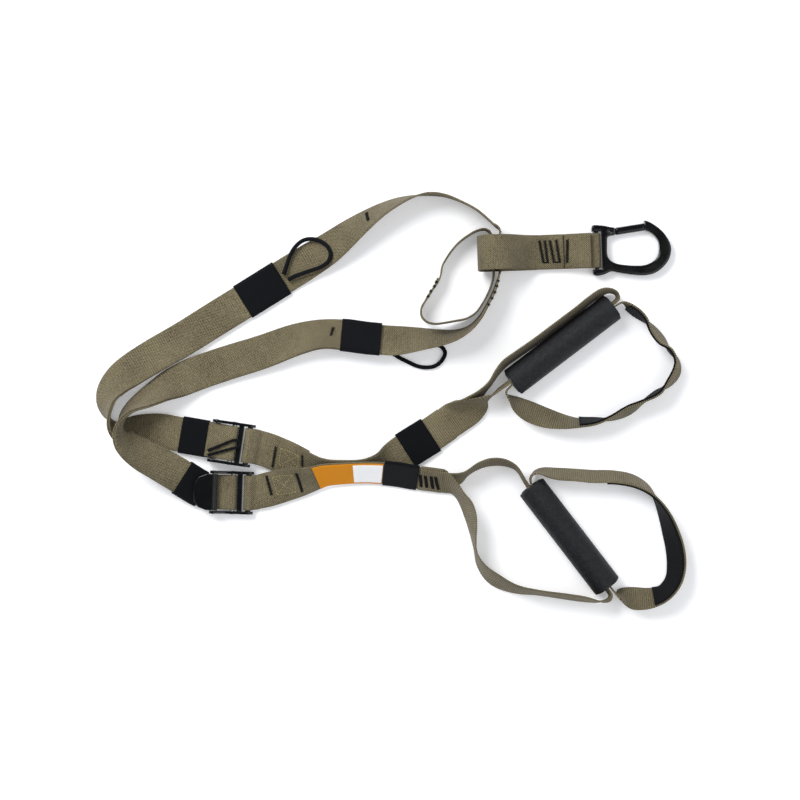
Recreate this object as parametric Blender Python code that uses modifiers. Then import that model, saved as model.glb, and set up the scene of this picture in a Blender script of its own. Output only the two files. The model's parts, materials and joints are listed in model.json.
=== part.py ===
"""Suspension trainer laid out on a floor: a carabiner and its anchor strap, a long webbing
strap that turns back through two cam buckles, and two handles with foot loops.

Units are metres, +Z is up and the floor is Z = 0. Plan places are read from the photograph, in
pixels of its 800-pixel frame, and scaled by the laid length; every piece has its real size."""

import math

import bmesh
import bpy
from mathutils import Matrix, Vector

# The laid object
LAY_LENGTH = 0.6413
LAY_SPAN_PX = 583.0
LAY_CENTRE_PX = (394.5, 399.5)
CLEAR = 0.0003
OVERRUN = 0.002
STRAP_STEPS = 3

# Webbing
WEB_WIDTH = 0.038
WEB_THICK = 0.0020
HANDLE_WIDTH = 0.0365
FOOT_WIDTH = 0.030
NARROW_THICK = 0.0018
RING_WIDTH = 0.022
PAD_THICK = 0.0020
PAD_MARGIN = 0.0010

# Elastic sleeves and cords
SLEEVE_WALL = 0.0012
CORD_THICK = 0.0045
PULL_CORD_THICK = 0.0030

# Carabiner
CARABINER_LENGTH = 0.087
CARABINER_THICK = 0.0110
CARABINER_EDGE = 0.0022
ANCHOR_BAR_RADIUS = 0.0025
GATE_THICK = 0.0078
GATE_LENGTH = 0.0400
GATE_PIN_RADIUS = 0.0014
GATE_TONGUE = 0.0050
GATE_EAR_SHARE = 0.8
GATE_LEAN = 7.0
ANCHOR_BAR_SHARE = 0.60
CORNER_SHARE = 0.46
CORNER_STEPS = 4

# Cam buckle
SIDE_THICK = 0.0030
SIDE_HEIGHT = 0.0120
BUCKLE_SLACK = 0.0028
BUCKLE_A_HEIGHT = 0.0125
BUCKLE_B_HEIGHT = 0.0064
ROLLER_RADIUS = 0.0025
STEM_BAR_RADIUS = 0.0030
CROSS_BAR_WIDTH = 0.0056
CROSS_BAR_HEIGHT = 0.0050
CAM_RADIUS = 0.0046
CAM_PIN_RADIUS = 0.0018
CAM_OFFSET = 0.0270
ROLLER_OFFSET = 0.0066
STEM_BAR_OFFSET = 0.0108
STEM_LEAN = 35.0
STEM_EASE_ROWS = 4
SIDE_REACH = 0.0058
THUMB_LENGTH = 0.0170
THUMB_THICK = 0.0024
CAM_RIBS = 9

# Handles
GRIP_LENGTH = 0.1370
GRIP_RADIUS = 0.0160
GRIP_WALL = 0.0030
CORE_WALL = 0.0020
CORE_FLANGE = 0.0010
GRIP_RIDGE_DEPTH = 0.0006
IN_GRIP_WIDTH = 0.0208
GRIP_MOUTH_SHARE = 0.73
IN_GRIP_OFFSET = 0.0013

# Sewn marks
LABEL_THICK = 0.0006
TAG_WALL = 0.0009
TAG_SLACK = 0.0016

PIXEL = LAY_LENGTH / LAY_SPAN_PX
STACK = 2 * WEB_THICK + CLEAR
NARROW_STACK = 2 * NARROW_THICK + CLEAR
ROLLER_WRAP = ROLLER_RADIUS + CLEAR + WEB_THICK / 2
STEM_WRAP = STEM_BAR_RADIUS + CLEAR + WEB_THICK / 2
ANCHOR_WRAP = ANCHOR_BAR_RADIUS + CLEAR + WEB_THICK / 2
CAM_HEIGHT = STACK / 2 + 3 * CLEAR + CAM_RADIUS
BUCKLE_INSIDE = WEB_WIDTH + BUCKLE_SLACK

# Colours, as linear red, green and blue
OLIVE = (0.198, 0.167, 0.098)
BLACK_FABRIC = (0.008, 0.010, 0.014)
RUBBER = (0.014, 0.018, 0.024)
BLACK_METAL = (0.006, 0.006, 0.007)
STEEL = (0.55, 0.56, 0.58)
ORANGE = (0.69, 0.27, 0.015)
GREY_PLASTIC = (0.09, 0.09, 0.10)
# Finishes: colour, roughness and, where it is metal, how metallic
WEBBING = (OLIVE, 0.9)
DARK_FABRIC = (BLACK_FABRIC, 0.95)
DARK_METAL = (BLACK_METAL, 0.25, 0.6)
BRIGHT_STEEL = (STEEL, 0.25, 1.0)
GRIP_RUBBER = (RUBBER, 0.75)
CORE_PLASTIC = (GREY_PLASTIC, 0.5)
PRINTED_LABEL = (ORANGE, 0.6)

# Strap stations: x px, y px, tilt in degrees, lift of the low edge as a share of the width.
# A tilt of 90 stands the webbing on edge, and past it the other face is up.
LEG_A_LEAD_SHARES = (
    (499, 251, 88, 0.07), (500, 240, 88, 0.07), (499.5, 231, 87, 0.07), (494, 225.5, 86, 0.02),
    (486, 218, 86, 0.0), (476, 210, 86, 0.0), (463, 203, 86, 0.0), (446, 196.5, 88, 0.0),
    (430, 194.5, 89, 0.0), (415, 196.5, 84, 0.0), (398, 202, 74, 0.0), (380, 211, 64, 0.0),
    (358, 226, 48, 0.0), (328, 249, 22, 0.0), (310, 260.5, 8, 0.03), (290, 273, 0, 0.045),
    (282, 278, 0, 0.045), (269, 286.1, 0, 0.045),
)
LEG_B_LEAD_SHARES = (
    (499, 251.5, 92, 0.07), (499, 262, 92, 0.07), (498.3, 271, 92, 0.07), (496, 281, 90, 0.02),
    (492, 293, 88, 0.0), (486, 305, 88, 0.0), (479, 317, 86, 0.0), (469, 327.5, 82, 0.0),
    (455, 334.5, 72, 0.0), (438, 337.5, 60, 0.0), (420, 338.8, 48, 0.0), (404, 339.9, 36, 0.02),
    (392, 340.3, 30, 0.045), (381, 339.6, 30, 0.045), (368, 338.4, 30, 0.045),
)
LEG_A_SHARES = (
    (282, 278, 0, 0.045), (268, 286.7, 0, 0.045), (243, 302.3, 0, 0.045), (215, 319.6, 2, 0.03),
    (183, 339.5, 5, 0.0), (156, 355, 10, 0.0), (131, 371, 18, 0.0), (118, 382, 32, 0.0),
    (111, 392, 42, 0.0), (109, 400, 50, 0.0), (109.3, 408, 62, 0.0), (111, 417, 80, 0.0),
    (115, 425, 100, 0.0), (121, 430.5, 124, 0.0), (130, 432.5, 146, 0.0), (143, 431, 162, 0.0),
    (160, 430.8, 172, 0.02), (178, 433.8, 178, 0.06), (195, 436.6, 180, 0.15),
    (210, 439.1, 180, 0.24),
)
LEG_B_SHARES = (
    (381, 339.6, 30, 0.045), (366, 338.2, 30, 0.045), (346, 335.5, 30, 0.045),
    (323, 334.5, 34, 0.03), (298, 339.5, 26, 0.0), (263, 352, 14, 0.0), (226, 363.5, 8, 0.0),
    (199, 372.8, 8, 0.0), (181, 380.5, 18, 0.0), (162, 390, 42, 0.0), (148, 399, 54, 0.08),
    (138, 406.5, 64, 0.22), (130, 415, 76, 0.40), (126, 424, 88, 0.54), (125.5, 433, 106, 0.60),
    (130, 442.5, 124, 0.58), (143, 452.5, 146, 0.50), (160, 462.5, 158, 0.38),
    (178, 473.5, 170, 0.28), (192, 483, 178, 0.16), (202.5, 489, 180, 0.12),
    (211, 491.4, 180, 0.112),
)
RING_SHARES = (
    (424, 303.5, 90, 0.0), (430, 293, 90, 0.0), (436.5, 284.5, 90, 0.0), (440.5, 276, 90, 0.0),
    (442, 267, 90, 0.0), (446, 259.5, 90, 0.0), (451, 252, 90, 0.0), (458, 244, 90, 0.0),
    (467, 237, 90, 0.0), (476, 232, 90, 0.04), (484, 230.5, 90, 0.10), (489.5, 234, 90, 0.16),
    (491.2, 243, 90, 0.18), (491.5, 254, 90, 0.18), (492, 264, 90, 0.18), (493, 273, 90, 0.14),
    (492.2, 281, 90, 0.04), (488.4, 292, 90, 0.0), (482.5, 303.3, 90, 0.0),
    (475.5, 313, 90, 0.0), (466, 319, 90, 0.06), (455, 321.5, 90, 0.20), (444, 323.5, 90, 0.34),
    (435, 324.5, 90, 0.38), (427, 322.5, 90, 0.36), (422, 317, 90, 0.26), (421.3, 310, 90, 0.12),
    (424.3, 303, 90, 0.0), (428.5, 296.5, 90, 0.0), (433.7, 288, 90, 0.0), (437.6, 279, 90, 0.0),
)
STEM_A_SHARES = (
    (254.5, 446.3, 0, 0.19), (267, 449.8, 0, 0.09), (284, 456.8, 2, 0.0), (299, 463.2, 14, 0.0),
    (312, 467.4, 30, 0.0), (326, 470.2, 46, 0.0), (345, 470.6, 50, 0.0), (364, 469.6, 50, 0.0),
    (380, 465.8, 40, 0.0), (393, 458.6, 18, 0.03), (405, 450.8, 3, 0.07), (418, 442.6, 0, 0.07),
    (431, 434.6, 0, 0.05), (440, 428.4, 0, 0.03), (447, 423.5, 0, 0.03),
)
STEM_B_SHARES = (
    (254.5, 492.6, 0, 0.03), (268, 489.3, 6, 0.045), (284, 484.5, 16, 0.03), (299, 480.4, 30, 0.03),
    (312, 477, 44, 0.05), (326, 474.2, 50, 0.07), (345, 472.6, 52, 0.07), (364, 471.8, 52, 0.07),
    (382, 472.4, 51, 0.06), (398, 474, 50, 0.05), (412, 476.5, 50, 0.05), (425, 478.2, 50, 0.04),
    (434, 479.4, 50, 0.01), (441, 480.4, 50, 0.004),
)
# Straps of the handles, with a fifth number: the width there as a share of the webbing
HANDLE_A_FAR_SHARES = (
    (447.4, 423.2, 0, 0.0, 1.0), (455, 417.6, 10, 0.0, 1.0), (464, 410.5, 34, 0.0, 1.0),
    (473, 402, 62, 0.0, 1.0), (482, 393, 78, 0.0, 1.0), (490.5, 383.5, 82, 0.0, 1.0),
    (497, 373.5, 80, 0.0, 1.0), (504, 365, 78, 0.0, 1.0), (515.5, 356.5, 78, 0.0, 1.0),
    (533.5, 344, 78, 0.0, 1.0), (553.5, 329, 78, 0.0, 1.0), (575.5, 312.5, 78, 0.0, 1.0),
    (590.5, 300.5, 78, 0.0, 1.0), (600.5, 294.3, 78, 0.02, 0.95), (609, 292.9, 84, 0.08, 0.78),
    (615.2, 295.4, 90, 0.17, 0.55), (616.2, 299.6, 90, 0.236, 0.42), (613.4, 303.1, 90, 0.236, 0.42),
)
HANDLE_A_NEAR_SHARES = (
    (447.4, 423.2, 0, 0.0, 1.0), (456, 417.5, 8, 0.0, 1.0), (466, 411.5, 22, 0.0, 1.0),
    (476, 404.5, 50, 0.0, 1.0), (484, 399, 76, 0.0, 1.0), (491, 395, 88, 0.06, 0.85),
    (497.3, 390.4, 90, 0.18, 0.6), (502.8, 386.8, 90, 0.236, 0.42), (506.8, 384.1, 90, 0.236, 0.42),
)
HANDLE_B_FAR_SHARES = (
    (441.4, 480.5, 50, 0.0, 1.0), (448, 482.5, 56, 0.0, 1.0), (454.5, 487, 68, 0.0, 1.0),
    (460, 493.5, 74, 0.0, 1.0), (466, 502, 70, 0.0, 1.0), (470, 512, 70, 0.0, 1.0),
    (472.5, 524, 76, 0.0, 1.0), (474, 537, 84, 0.0, 1.0), (476, 550, 88, 0.0, 1.0),
    (481, 563, 78, 0.0, 1.0), (494, 577, 66, 0.0, 1.0), (514, 586.5, 72, 0.0, 1.0),
    (539, 590.5, 78, 0.0, 1.0), (564, 594, 77, 0.0, 1.0), (584, 597, 78, 0.0, 1.0),
    (598, 599.5, 84, 0.06, 0.85), (606.8, 598, 90, 0.17, 0.58), (609.2, 593.4, 90, 0.236, 0.42),
    (606.6, 588.8, 90, 0.236, 0.42),
)
HANDLE_B_NEAR_SHARES = (
    (441.4, 480.5, 50, 0.0, 1.0), (449, 481, 58, 0.0, 1.0), (458, 478.5, 68, 0.0, 1.0),
    (467, 473.5, 80, 0.0, 1.0), (479, 466, 78, 0.0, 1.0), (491, 462.5, 76, 0.0, 1.0),
    (503, 463, 78, 0.0, 1.0), (512.5, 467, 82, 0.04, 0.9), (519.6, 474, 88, 0.14, 0.66),
    (523.8, 480.2, 90, 0.22, 0.48), (526.9, 484.4, 90, 0.236, 0.42),
)
FOOT_A_SHARES = (
    (615.3, 305.8, 90, 0.283, 0.5), (620.5, 303.2, 90, 0.24, 0.6), (627.5, 306.5, 82, 0.1, 0.9),
    (635.5, 312.5, 80, 0.0, 1.0), (643.5, 319, 88, 0.0, 1.0), (651, 328.5, 106, 0.0, 1.0),
    (660, 339.5, 110, 0.0, 1.0), (669.5, 350, 92, 0.0, 1.0), (676, 361, 102, 0.0, 1.0),
    (675.5, 372.5, 110, 0.0, 1.0), (668, 383.5, 104, 0.0, 1.0), (656.5, 393.5, 86, 0.0, 1.0),
    (643, 402, 94, 0.0, 1.0), (627.5, 411, 108, 0.0, 1.0), (610.5, 418.5, 98, 0.0, 1.0),
    (594, 421.8, 80, 0.0, 1.0), (578, 422.8, 72, 0.0, 1.0), (562, 421.5, 58, 0.0, 1.0),
    (546, 418, 44, 0.0, 1.0), (531, 412.5, 40, 0.0, 1.0), (517.5, 405.5, 54, 0.0, 1.0),
    (510, 399.5, 74, 0.04, 0.92), (506.2, 395.3, 88, 0.2, 0.65),
    (505.8, 391.2, 90, 0.283, 0.5), (509, 387.3, 90, 0.283, 0.5),
)
FOOT_B_SHARES = (
    (530, 482.6, 90, 0.283, 0.5), (529.6, 477.8, 90, 0.26, 0.55), (533.4, 473, 92, 0.12, 0.85),
    (543, 471.8, 106, 0.0, 1.0), (556, 473.4, 113, 0.0, 1.0), (574, 474.5, 114, 0.0, 1.0),
    (592, 476, 115, 0.0, 1.0), (612, 476.2, 114, 0.0, 1.0), (631, 479.5, 112, 0.0, 1.0),
    (645.5, 487, 104, 0.0, 1.0), (655.5, 498, 90, 0.0, 1.0), (663.5, 513, 74, 0.0, 1.0),
    (669.5, 530, 62, 0.0, 1.0), (674, 547, 56, 0.0, 1.0), (675.5, 564, 56, 0.0, 1.0),
    (672.5, 580, 62, 0.0, 1.0), (662.5, 592.5, 62, 0.0, 1.0), (647, 597.5, 46, 0.0, 1.0),
    (632, 597.5, 40, 0.0, 1.0), (621.5, 595.6, 58, 0.05, 0.92), (614.4, 592.2, 86, 0.22, 0.62),
    (609.5, 586.4, 90, 0.283, 0.5),
)
# Elastic cord routes, as x px, y px and height in cord diameters
CORD_A_ROUTE = (
    (284, 275, 1.9), (287, 266, 1.9), (290.5, 256, 1.9), (296, 247, 1.9), (303.5, 241, 1.9),
    (312, 239.5, 1.9), (321, 242, 2.2), (328, 247.5, 2.8), (331, 255, 3.35), (329, 262, 3.65),
    (322, 267.5, 3.4), (312, 271, 2.95), (303, 274, 2.5), (295, 277, 2.1), (288.5, 280.3, 1.95),
)
PULL_CORD_ROUTE = (
    (209, 450, 5.3), (215, 447.8, 5.5), (222, 445, 5.9), (229, 442, 6.4), (235, 440, 6.6),
    (240, 440.5, 6.6), (241.5, 443.8, 6.6), (238.5, 446.8, 6.6), (233, 448.3, 6.5),
    (226, 450, 6.2), (218, 452.3, 5.6), (209, 454.8, 5.3),
)
CORD_B_ROUTE = (
    (383.5, 331, 0.55), (383.8, 338, 0.55), (386, 345.8, 0.56), (391.5, 352.2, 0.56), (399, 357.5, 0.55),
    (408, 362, 0.55), (417, 366, 0.55),
    (427, 367.5, 0.55), (436, 365.5, 0.55), (442.5, 359.5, 0.55), (445, 352.5, 0.55),
    (441, 346.5, 0.55), (432, 344, 0.55), (420, 344, 0.55), (408, 344.5, 0.55),
    (397, 342.5, 0.56), (390, 337.5, 0.56), (387.5, 331, 0.55),
)
# The carabiner's outer line and opening, in its own frame, as shares of its length, each
# with how far its corner is rounded off
CARABINER_OUTER_SHARES = (
    (-0.055, 0.300, 0.030), (-0.035, 0.322, 0.030), (0.103, 0.308, 0.050), (0.200, 0.279, 0.040),
    (0.301, 0.280, 0.030), (0.542, 0.313, 0.020), (0.569, 0.348, 0.030), (0.632, 0.357, 0.050),
    (0.742, 0.295, 0.100), (0.849, 0.198, 0.100), (0.919, 0.081, 0.100), (0.941, -0.020, 0.100),
    (0.914, -0.133, 0.100), (0.839, -0.236, 0.100), (0.723, -0.316, 0.100), (0.595, -0.337, 0.100),
    (0.437, -0.321, 0.100), (0.259, -0.287, 0.060), (0.172, -0.262, 0.050), (0.103, -0.302, 0.040),
    (0.020, -0.320, 0.040), (-0.055, -0.305, 0.020), (-0.055, -0.240, 0.008), (0.064, -0.240, 0.008),
    (0.064, 0.240, 0.008), (-0.055, 0.240, 0.008),
)
CARABINER_OPENING_SHARES = (
    (0.135, 0.177, 0.050), (0.276, 0.192, 0.040), (0.633, 0.236, 0.080), (0.722, 0.180, 0.080),
    (0.783, 0.093, 0.080), (0.793, -0.009, 0.080), (0.765, -0.109, 0.080), (0.692, -0.177, 0.080),
    (0.582, -0.213, 0.080), (0.441, -0.210, 0.080), (0.263, -0.186, 0.080), (0.176, -0.148, 0.060),
    (0.126, -0.080, 0.060),
)
GATE_HINGE_SHARES = (0.165, 0.222)
# The anchor strap's two layers, from the right: x px and height as a share of its width
ANCHOR_TOP_SHARES = (
    (601, 0.50), (590, 0.42), (576, 0.30), (563, 0.235), (550, 0.21), (538, 0.21),
    (528, 0.36), (518, 0.70), (508, 1.04), (499, 1.20), (489, 1.20), (481, 1.05), (478.5, 0.80),
)
ANCHOR_LOW_SHARES = (
    (477.5, 0.55), (479, 0.25), (484, 0.06), (495, 0.03), (512, 0.03), (528, 0.05),
    (538, 0.13), (550, 0.145), (566, 0.13), (580, 0.09), (590, 0.06),
)
# Plan places of the carabiner, the seam, the buckles and the grips' ends
CARABINER_PX = (596, 251)
CARABINER_TURN = 2.0
SEAM_PX = (563, 252)
SEAM_SHARES = ((565, 0.236),)
BUCKLE_A_PX = (239, 444)
BUCKLE_A_TURN = -8.5
BUCKLE_B_PX = (239, 492.4)
BUCKLE_B_TURN = -2.0
GRIP_A_ENDS_PX = ((512, 382.5), (610.6, 307.5))
GRIP_B_ENDS_PX = ((531.3, 487.4), (605.1, 583.8))
# Where the sewn pieces start and end, counted in rows of the strap under them
ROWS = {
    "keeper_a_upper": (0, 6), "keeper_b_upper": (0, 6.6), "keeper_a_lower": (51.6, 56.6),
    "keeper_b_lower": (55, 60), "tag_a": (30, 36), "tag_b": (24.3, 31.3),
    "care_label": (13, 24.1), "foot_pad_a": (6, 48), "foot_pad_b": (20, 50),
}
STEM_FOLD_ROWS = 12
HANDLE_EASE_ROWS = 4
CREASE_SIDE = (0.36, 0.48, 0.80)
PARTS = "suspension_trainer"
TOOLS = "cutters"



def floor_point(px, py, height=0.0):
    """A place of the photograph, on the floor or above it."""
    x = (px - LAY_CENTRE_PX[0]) * PIXEL
    y = (LAY_CENTRE_PX[1] - py) * PIXEL
    return Vector((x, y, height))


def smooth(stations, steps):
    """Points of a centripetal curve through the stations, with every station kept."""
    rows = [Vector(row) for row in stations]
    first = 2 * rows[0] - rows[1]
    last = 2 * rows[-1] - rows[-2]
    rows = [first] + rows + [last]
    out = []
    for a, b, c, d in zip(rows, rows[1:], rows[2:], rows[3:]):
        knots = [0.0]
        for p, q in ((a, b), (b, c), (c, d)):
            knots.append(knots[-1] + max((q - p).length, PIXEL) ** 0.5)
        for step in range(steps):
            t = knots[1] + (knots[2] - knots[1]) * step / steps
            out.append(curve_point((a, b, c, d), knots, t))
    out.append(rows[-2])
    return out


def curve_point(points, knots, t):
    """Barry and Goldman's pyramid for one point of the centripetal curve."""
    level = list(points)
    for reach in (1, 2):
        level = [
            mix(p, q, (t - knots[i]) / (knots[i + reach] - knots[i]))
            for i, (p, q) in enumerate(zip(level, level[1:]))
        ]
    return mix(level[0], level[1], (t - knots[1]) / (knots[2] - knots[1]))


def mix(p, q, share):
    return p * (1 - share) + q * share


def laid_rows(stations, width, stack, steps=STRAP_STEPS):
    """Rows of a laid strap: centre, direction across and width share."""
    places = []
    for station in stations:
        px, py, tilt, lift = station[:4]
        share = station[4] if len(station) > 4 else 1.0
        place = floor_point(px, py)
        # the curve mixes lengths, radians and shares, so all are scaled to like sizes
        places.append((place.x, place.y, math.radians(tilt) * width, lift * width, share * width))
    places = [Vector(p) for p in places]
    rows = []
    for x, y, turn, lift, wide in smooth(places, steps):
        tilt = turn / width
        rise = wide / 2 * abs(math.sin(tilt)) + stack / 2 * abs(math.cos(tilt)) + lift
        rows.append([Vector((x, y, rise)), tilt, wide / width])
    return [(row[0], across(rows, i), row[2]) for i, row in enumerate(rows)]


def across(rows, index):
    """Direction of the width at a row: level at no tilt, upright at 90 degrees."""
    ahead = heading([row[0] for row in rows], index)
    level = Vector((0, 0, 1)).cross(ahead).normalized()
    upright = ahead.cross(level).normalized()
    tilt = rows[index][1]
    return level * math.cos(tilt) + upright * math.sin(tilt)


def heading(centres, index):
    before = centres[max(index - 1, 0)]
    after = centres[min(index + 1, len(centres) - 1)]
    return (after - before).normalized()


def shifted(rows, offsets):
    """The rows moved off their middle surface, by one distance or one for each row."""
    if not hasattr(offsets, "__len__"):
        offsets = [offsets] * len(rows)
    centres = [row[0] for row in rows]
    out = []
    for i, (centre, side, share) in enumerate(rows):
        normal = heading(centres, i).cross(side).normalized()
        out.append((centre + normal * offsets[i], side, share))
    return out


def stretch(rows, name):
    """The rows under one sewn piece, with its two ends between rows."""
    start, end = ROWS[name]
    out = [between(rows, start)]
    out += rows[math.floor(start) + 1:math.ceil(end)]
    out.append(between(rows, end))
    return out


def between(rows, place):
    """A row at a fractional place along the rows."""
    first = min(math.floor(place), len(rows) - 2)
    part = place - first
    (centre, side, share), (after, turned_side, after_share) = rows[first], rows[first + 1]
    across_row = mix(side, turned_side, part).normalized()
    return mix(centre, after, part), across_row, mix(share, after_share, part)


def spread(count, near, far, reach):
    """Distances that stay near and open out to far over the last rows."""
    out = []
    for i in range(count):
        share = max(0.0, (i - (count - 1 - reach)) / reach)
        ease = share * share * (3 - 2 * share)
        out.append(near + (far - near) * ease)
    return out


def wrapped(centre, side, start, radius, turn, count):
    """Rows round a bar: start is the first direction out from it, turn is in degrees."""
    out = []
    for i in range(count + 1):
        spin = Matrix.Rotation(math.radians(turn) * i / count, 3, side)
        out.append((centre + spin @ start * radius, side, 1.0))
    return out


def material(name, colour, rough, metal=0.0):
    mat = bpy.data.materials.new(name)
    mat.use_nodes = True
    shader = mat.node_tree.nodes["Principled BSDF"]
    shader.inputs["Base Color"].default_value = (*colour, 1.0)
    shader.inputs["Roughness"].default_value = rough
    shader.inputs["Metallic"].default_value = metal
    mat.diffuse_color = (*colour, 1.0)
    return mat


def add_object(name, data, mat, holder):
    """An object of the part in its collection, with its material."""
    data.name = name
    obj = bpy.data.objects.new(name, data)
    bpy.data.collections[holder].objects.link(obj)
    if mat:
        data.materials.clear()
        data.materials.append(material(name, *mat))
    return obj


def ribbon_sheet(name, rows, width, mat, holder=PARTS):
    """An open sheet through the rows, two corners to a row."""
    bm = bmesh.new()
    pairs = []
    for centre, side, share in rows:
        half = side * (width * share / 2)
        pairs.append((bm.verts.new(centre - half), bm.verts.new(centre + half)))
    for (a, b), (c, d) in zip(pairs, pairs[1:]):
        # both layers of a folded strap crease along the same diagonal
        if (a.co + d.co - b.co - c.co).dot(Vector(CREASE_SIDE)) > 0:
            corners = ((a, b, d), (a, d, c))
        else:
            corners = ((a, b, c), (b, d, c))
        for corner in corners:
            bm.faces.new(corner)
    mesh = bpy.data.meshes.new(name)
    bm.to_mesh(mesh)
    bm.free()
    return add_object(name, mesh, mat, holder)


def strap(name, rows, width, thick, mat, holder=PARTS):
    """Webbing: an open sheet along the rows, given its thickness both ways."""
    obj = ribbon_sheet(name, rows, width, mat, holder)
    solid = obj.modifiers.new("thickness", "SOLIDIFY")
    solid.thickness = thick
    solid.offset = 0.0
    return obj


def cut(obj, cutter, operation="DIFFERENCE"):
    """An exact Boolean of the object with a cutter that isn't rendered."""
    cutter.hide_render = True
    cutter.display_type = "WIRE"
    if cutter.name not in bpy.data.collections[TOOLS].objects:
        for holder in list(cutter.users_collection):
            holder.objects.unlink(cutter)
        bpy.data.collections[TOOLS].objects.link(cutter)
    boolean = obj.modifiers.new(cutter.name, "BOOLEAN")
    boolean.operation = operation
    boolean.object = cutter
    boolean.solver = "EXACT"
    return obj


def sleeve(name, rows, width, stack, wall, mat):
    """A flat tube of fabric around a strap, open at both ends."""
    inner = width + 2 * CLEAR
    hollow = stack + 2 * CLEAR
    obj = strap(name, rows, inner + 2 * wall, hollow + 2 * wall, mat)
    first = (rows[0][0] - rows[1][0]).normalized() * OVERRUN
    last = (rows[-1][0] - rows[-2][0]).normalized() * OVERRUN
    longer = [(rows[0][0] + first, *rows[0][1:])] + list(rows)
    longer.append((rows[-1][0] + last, *rows[-1][1:]))
    core = strap(name + "_hollow", longer, inner, hollow, None, TOOLS)
    return cut(obj, core)


def cylinder(name, radius, length, mat, sides=24, holder=PARTS):
    """A round bar along its own Z."""
    bm = bmesh.new()
    bmesh.ops.create_cone(
        bm, cap_ends=True, segments=sides, radius1=radius, radius2=radius, depth=length
    )
    mesh = bpy.data.meshes.new(name)
    bm.to_mesh(mesh)
    bm.free()
    mesh.shade_smooth()
    mesh.set_sharp_from_angle(angle=math.radians(40))
    return add_object(name, mesh, mat, holder)


def box(name, low, high, mat, holder=PARTS):
    """A box between two corners of its own frame."""
    low = Vector(low)
    high = Vector(high)
    bm = bmesh.new()
    bmesh.ops.create_cube(bm, size=1.0)
    size = Matrix.Diagonal((*(high - low), 1.0))
    bmesh.ops.transform(bm, matrix=Matrix.Translation((low + high) / 2) @ size, verts=bm.verts)
    mesh = bpy.data.meshes.new(name)
    bm.to_mesh(mesh)
    bm.free()
    return add_object(name, mesh, mat, holder)


def plate(name, outlines, thick, mat, holder=PARTS, bevel=0.0):
    """A flat outline, with any holes, given its thickness along its own Z."""
    curve = bpy.data.curves.new(name, "CURVE")
    curve.dimensions = "2D"
    curve.fill_mode = "BOTH"
    curve.extrude = thick / 2
    for outline in outlines:
        spline = curve.splines.new("POLY")
        spline.points.add(len(outline) - 1)
        for point, (x, y) in zip(spline.points, outline):
            point.co = (x, y, 0, 1)
        spline.use_cyclic_u = True
    flat = bpy.data.objects.new(name, curve)
    bpy.data.collections[holder].objects.link(flat)
    bpy.context.view_layer.update()
    mesh = bpy.data.meshes.new_from_object(
        flat.evaluated_get(bpy.context.evaluated_depsgraph_get())
    )
    bpy.data.objects.remove(flat)
    bm = bmesh.new()
    bm.from_mesh(mesh)
    bmesh.ops.remove_doubles(bm, verts=bm.verts, dist=CLEAR / 10)
    bmesh.ops.dissolve_limit(
        bm, angle_limit=math.radians(1), verts=bm.verts, edges=bm.edges
    )
    bm.to_mesh(mesh)
    bm.free()
    obj = add_object(name, mesh, mat, holder)
    if bevel:
        rounding = obj.modifiers.new("edges", "BEVEL")
        rounding.width = bevel
        rounding.segments = 2
        rounding.limit_method = "ANGLE"
        rounding.angle_limit = math.radians(50)
    return obj


def arc(centre, radius, start, end, count):
    """Points of an arc, in degrees anticlockwise."""
    points = []
    for i in range(count + 1):
        angle = math.radians(start + (end - start) * i / count)
        points.append(
            (centre[0] + radius * math.cos(angle), centre[1] + radius * math.sin(angle))
        )
    return points


def tube(name, route, thick, mat):
    """A cord: a round tube on a smooth route, with closed ends."""
    points = smooth([Vector(p) for p in route], 3)
    curve = bpy.data.curves.new(name, "CURVE")
    curve.dimensions = "3D"
    curve.bevel_depth = thick / 2
    curve.bevel_resolution = 2
    curve.use_fill_caps = True
    spline = curve.splines.new("POLY")
    spline.points.add(len(points) - 1)
    for point, place in zip(spline.points, points):
        point.co = (*place, 1)
    return add_object(name, curve, mat, PARTS)


def turned(name, profile, mat, sides=32):
    """A turned piece: its outer side top to bottom, then its bore, spun about Z."""
    bm = bmesh.new()
    verts = [bm.verts.new((radius, 0, height)) for radius, height in profile]
    for a, b in zip(verts, verts[1:] + verts[:1]):
        bm.edges.new((a, b))
    mesh = bpy.data.meshes.new(name)
    bm.to_mesh(mesh)
    bm.free()
    obj = add_object(name, mesh, mat, PARTS)
    screw = obj.modifiers.new("turn", "SCREW")
    screw.steps = sides
    screw.render_steps = sides
    screw.use_merge_vertices = True
    screw.merge_threshold = CLEAR / 10
    screw.use_smooth_shade = True
    return obj


def stand(objects, matrix):
    """Puts pieces that were drawn in their own frame where the frame lies."""
    for obj in objects:
        obj.matrix_basis = matrix @ obj.matrix_basis


def carabiner_frame():
    """Own frame of the carabiner: its bar at the origin, +X along it to the crown."""
    turn = Matrix.Rotation(math.radians(CARABINER_TURN), 4, "Z")
    place = floor_point(*CARABINER_PX, CARABINER_THICK / 2 + CLEAR)
    return Matrix.Translation(place) @ turn


def gate_hinge():
    x, y = GATE_HINGE_SHARES
    return Vector((x * CARABINER_LENGTH, y * CARABINER_LENGTH, 0))


def rounded(corners, size):
    """A closed outline in metres with each corner rounded off by its own share of the size."""
    points = []
    count = len(corners)
    for i, (x, y, reach) in enumerate(corners):
        corner = Vector((x, y)) * size
        ends = []
        for other in (corners[i - 1], corners[(i + 1) % count]):
            edge = Vector(other[:2]) * size - corner
            ends.append(corner + edge.normalized() * min(reach * size, edge.length * CORNER_SHARE))
        for step in range(CORNER_STEPS + 1):
            part = step / CORNER_STEPS
            points.append(mix(mix(ends[0], corner, part), mix(corner, ends[1], part), part))
    return [(point.x, point.y) for point in points]


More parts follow.
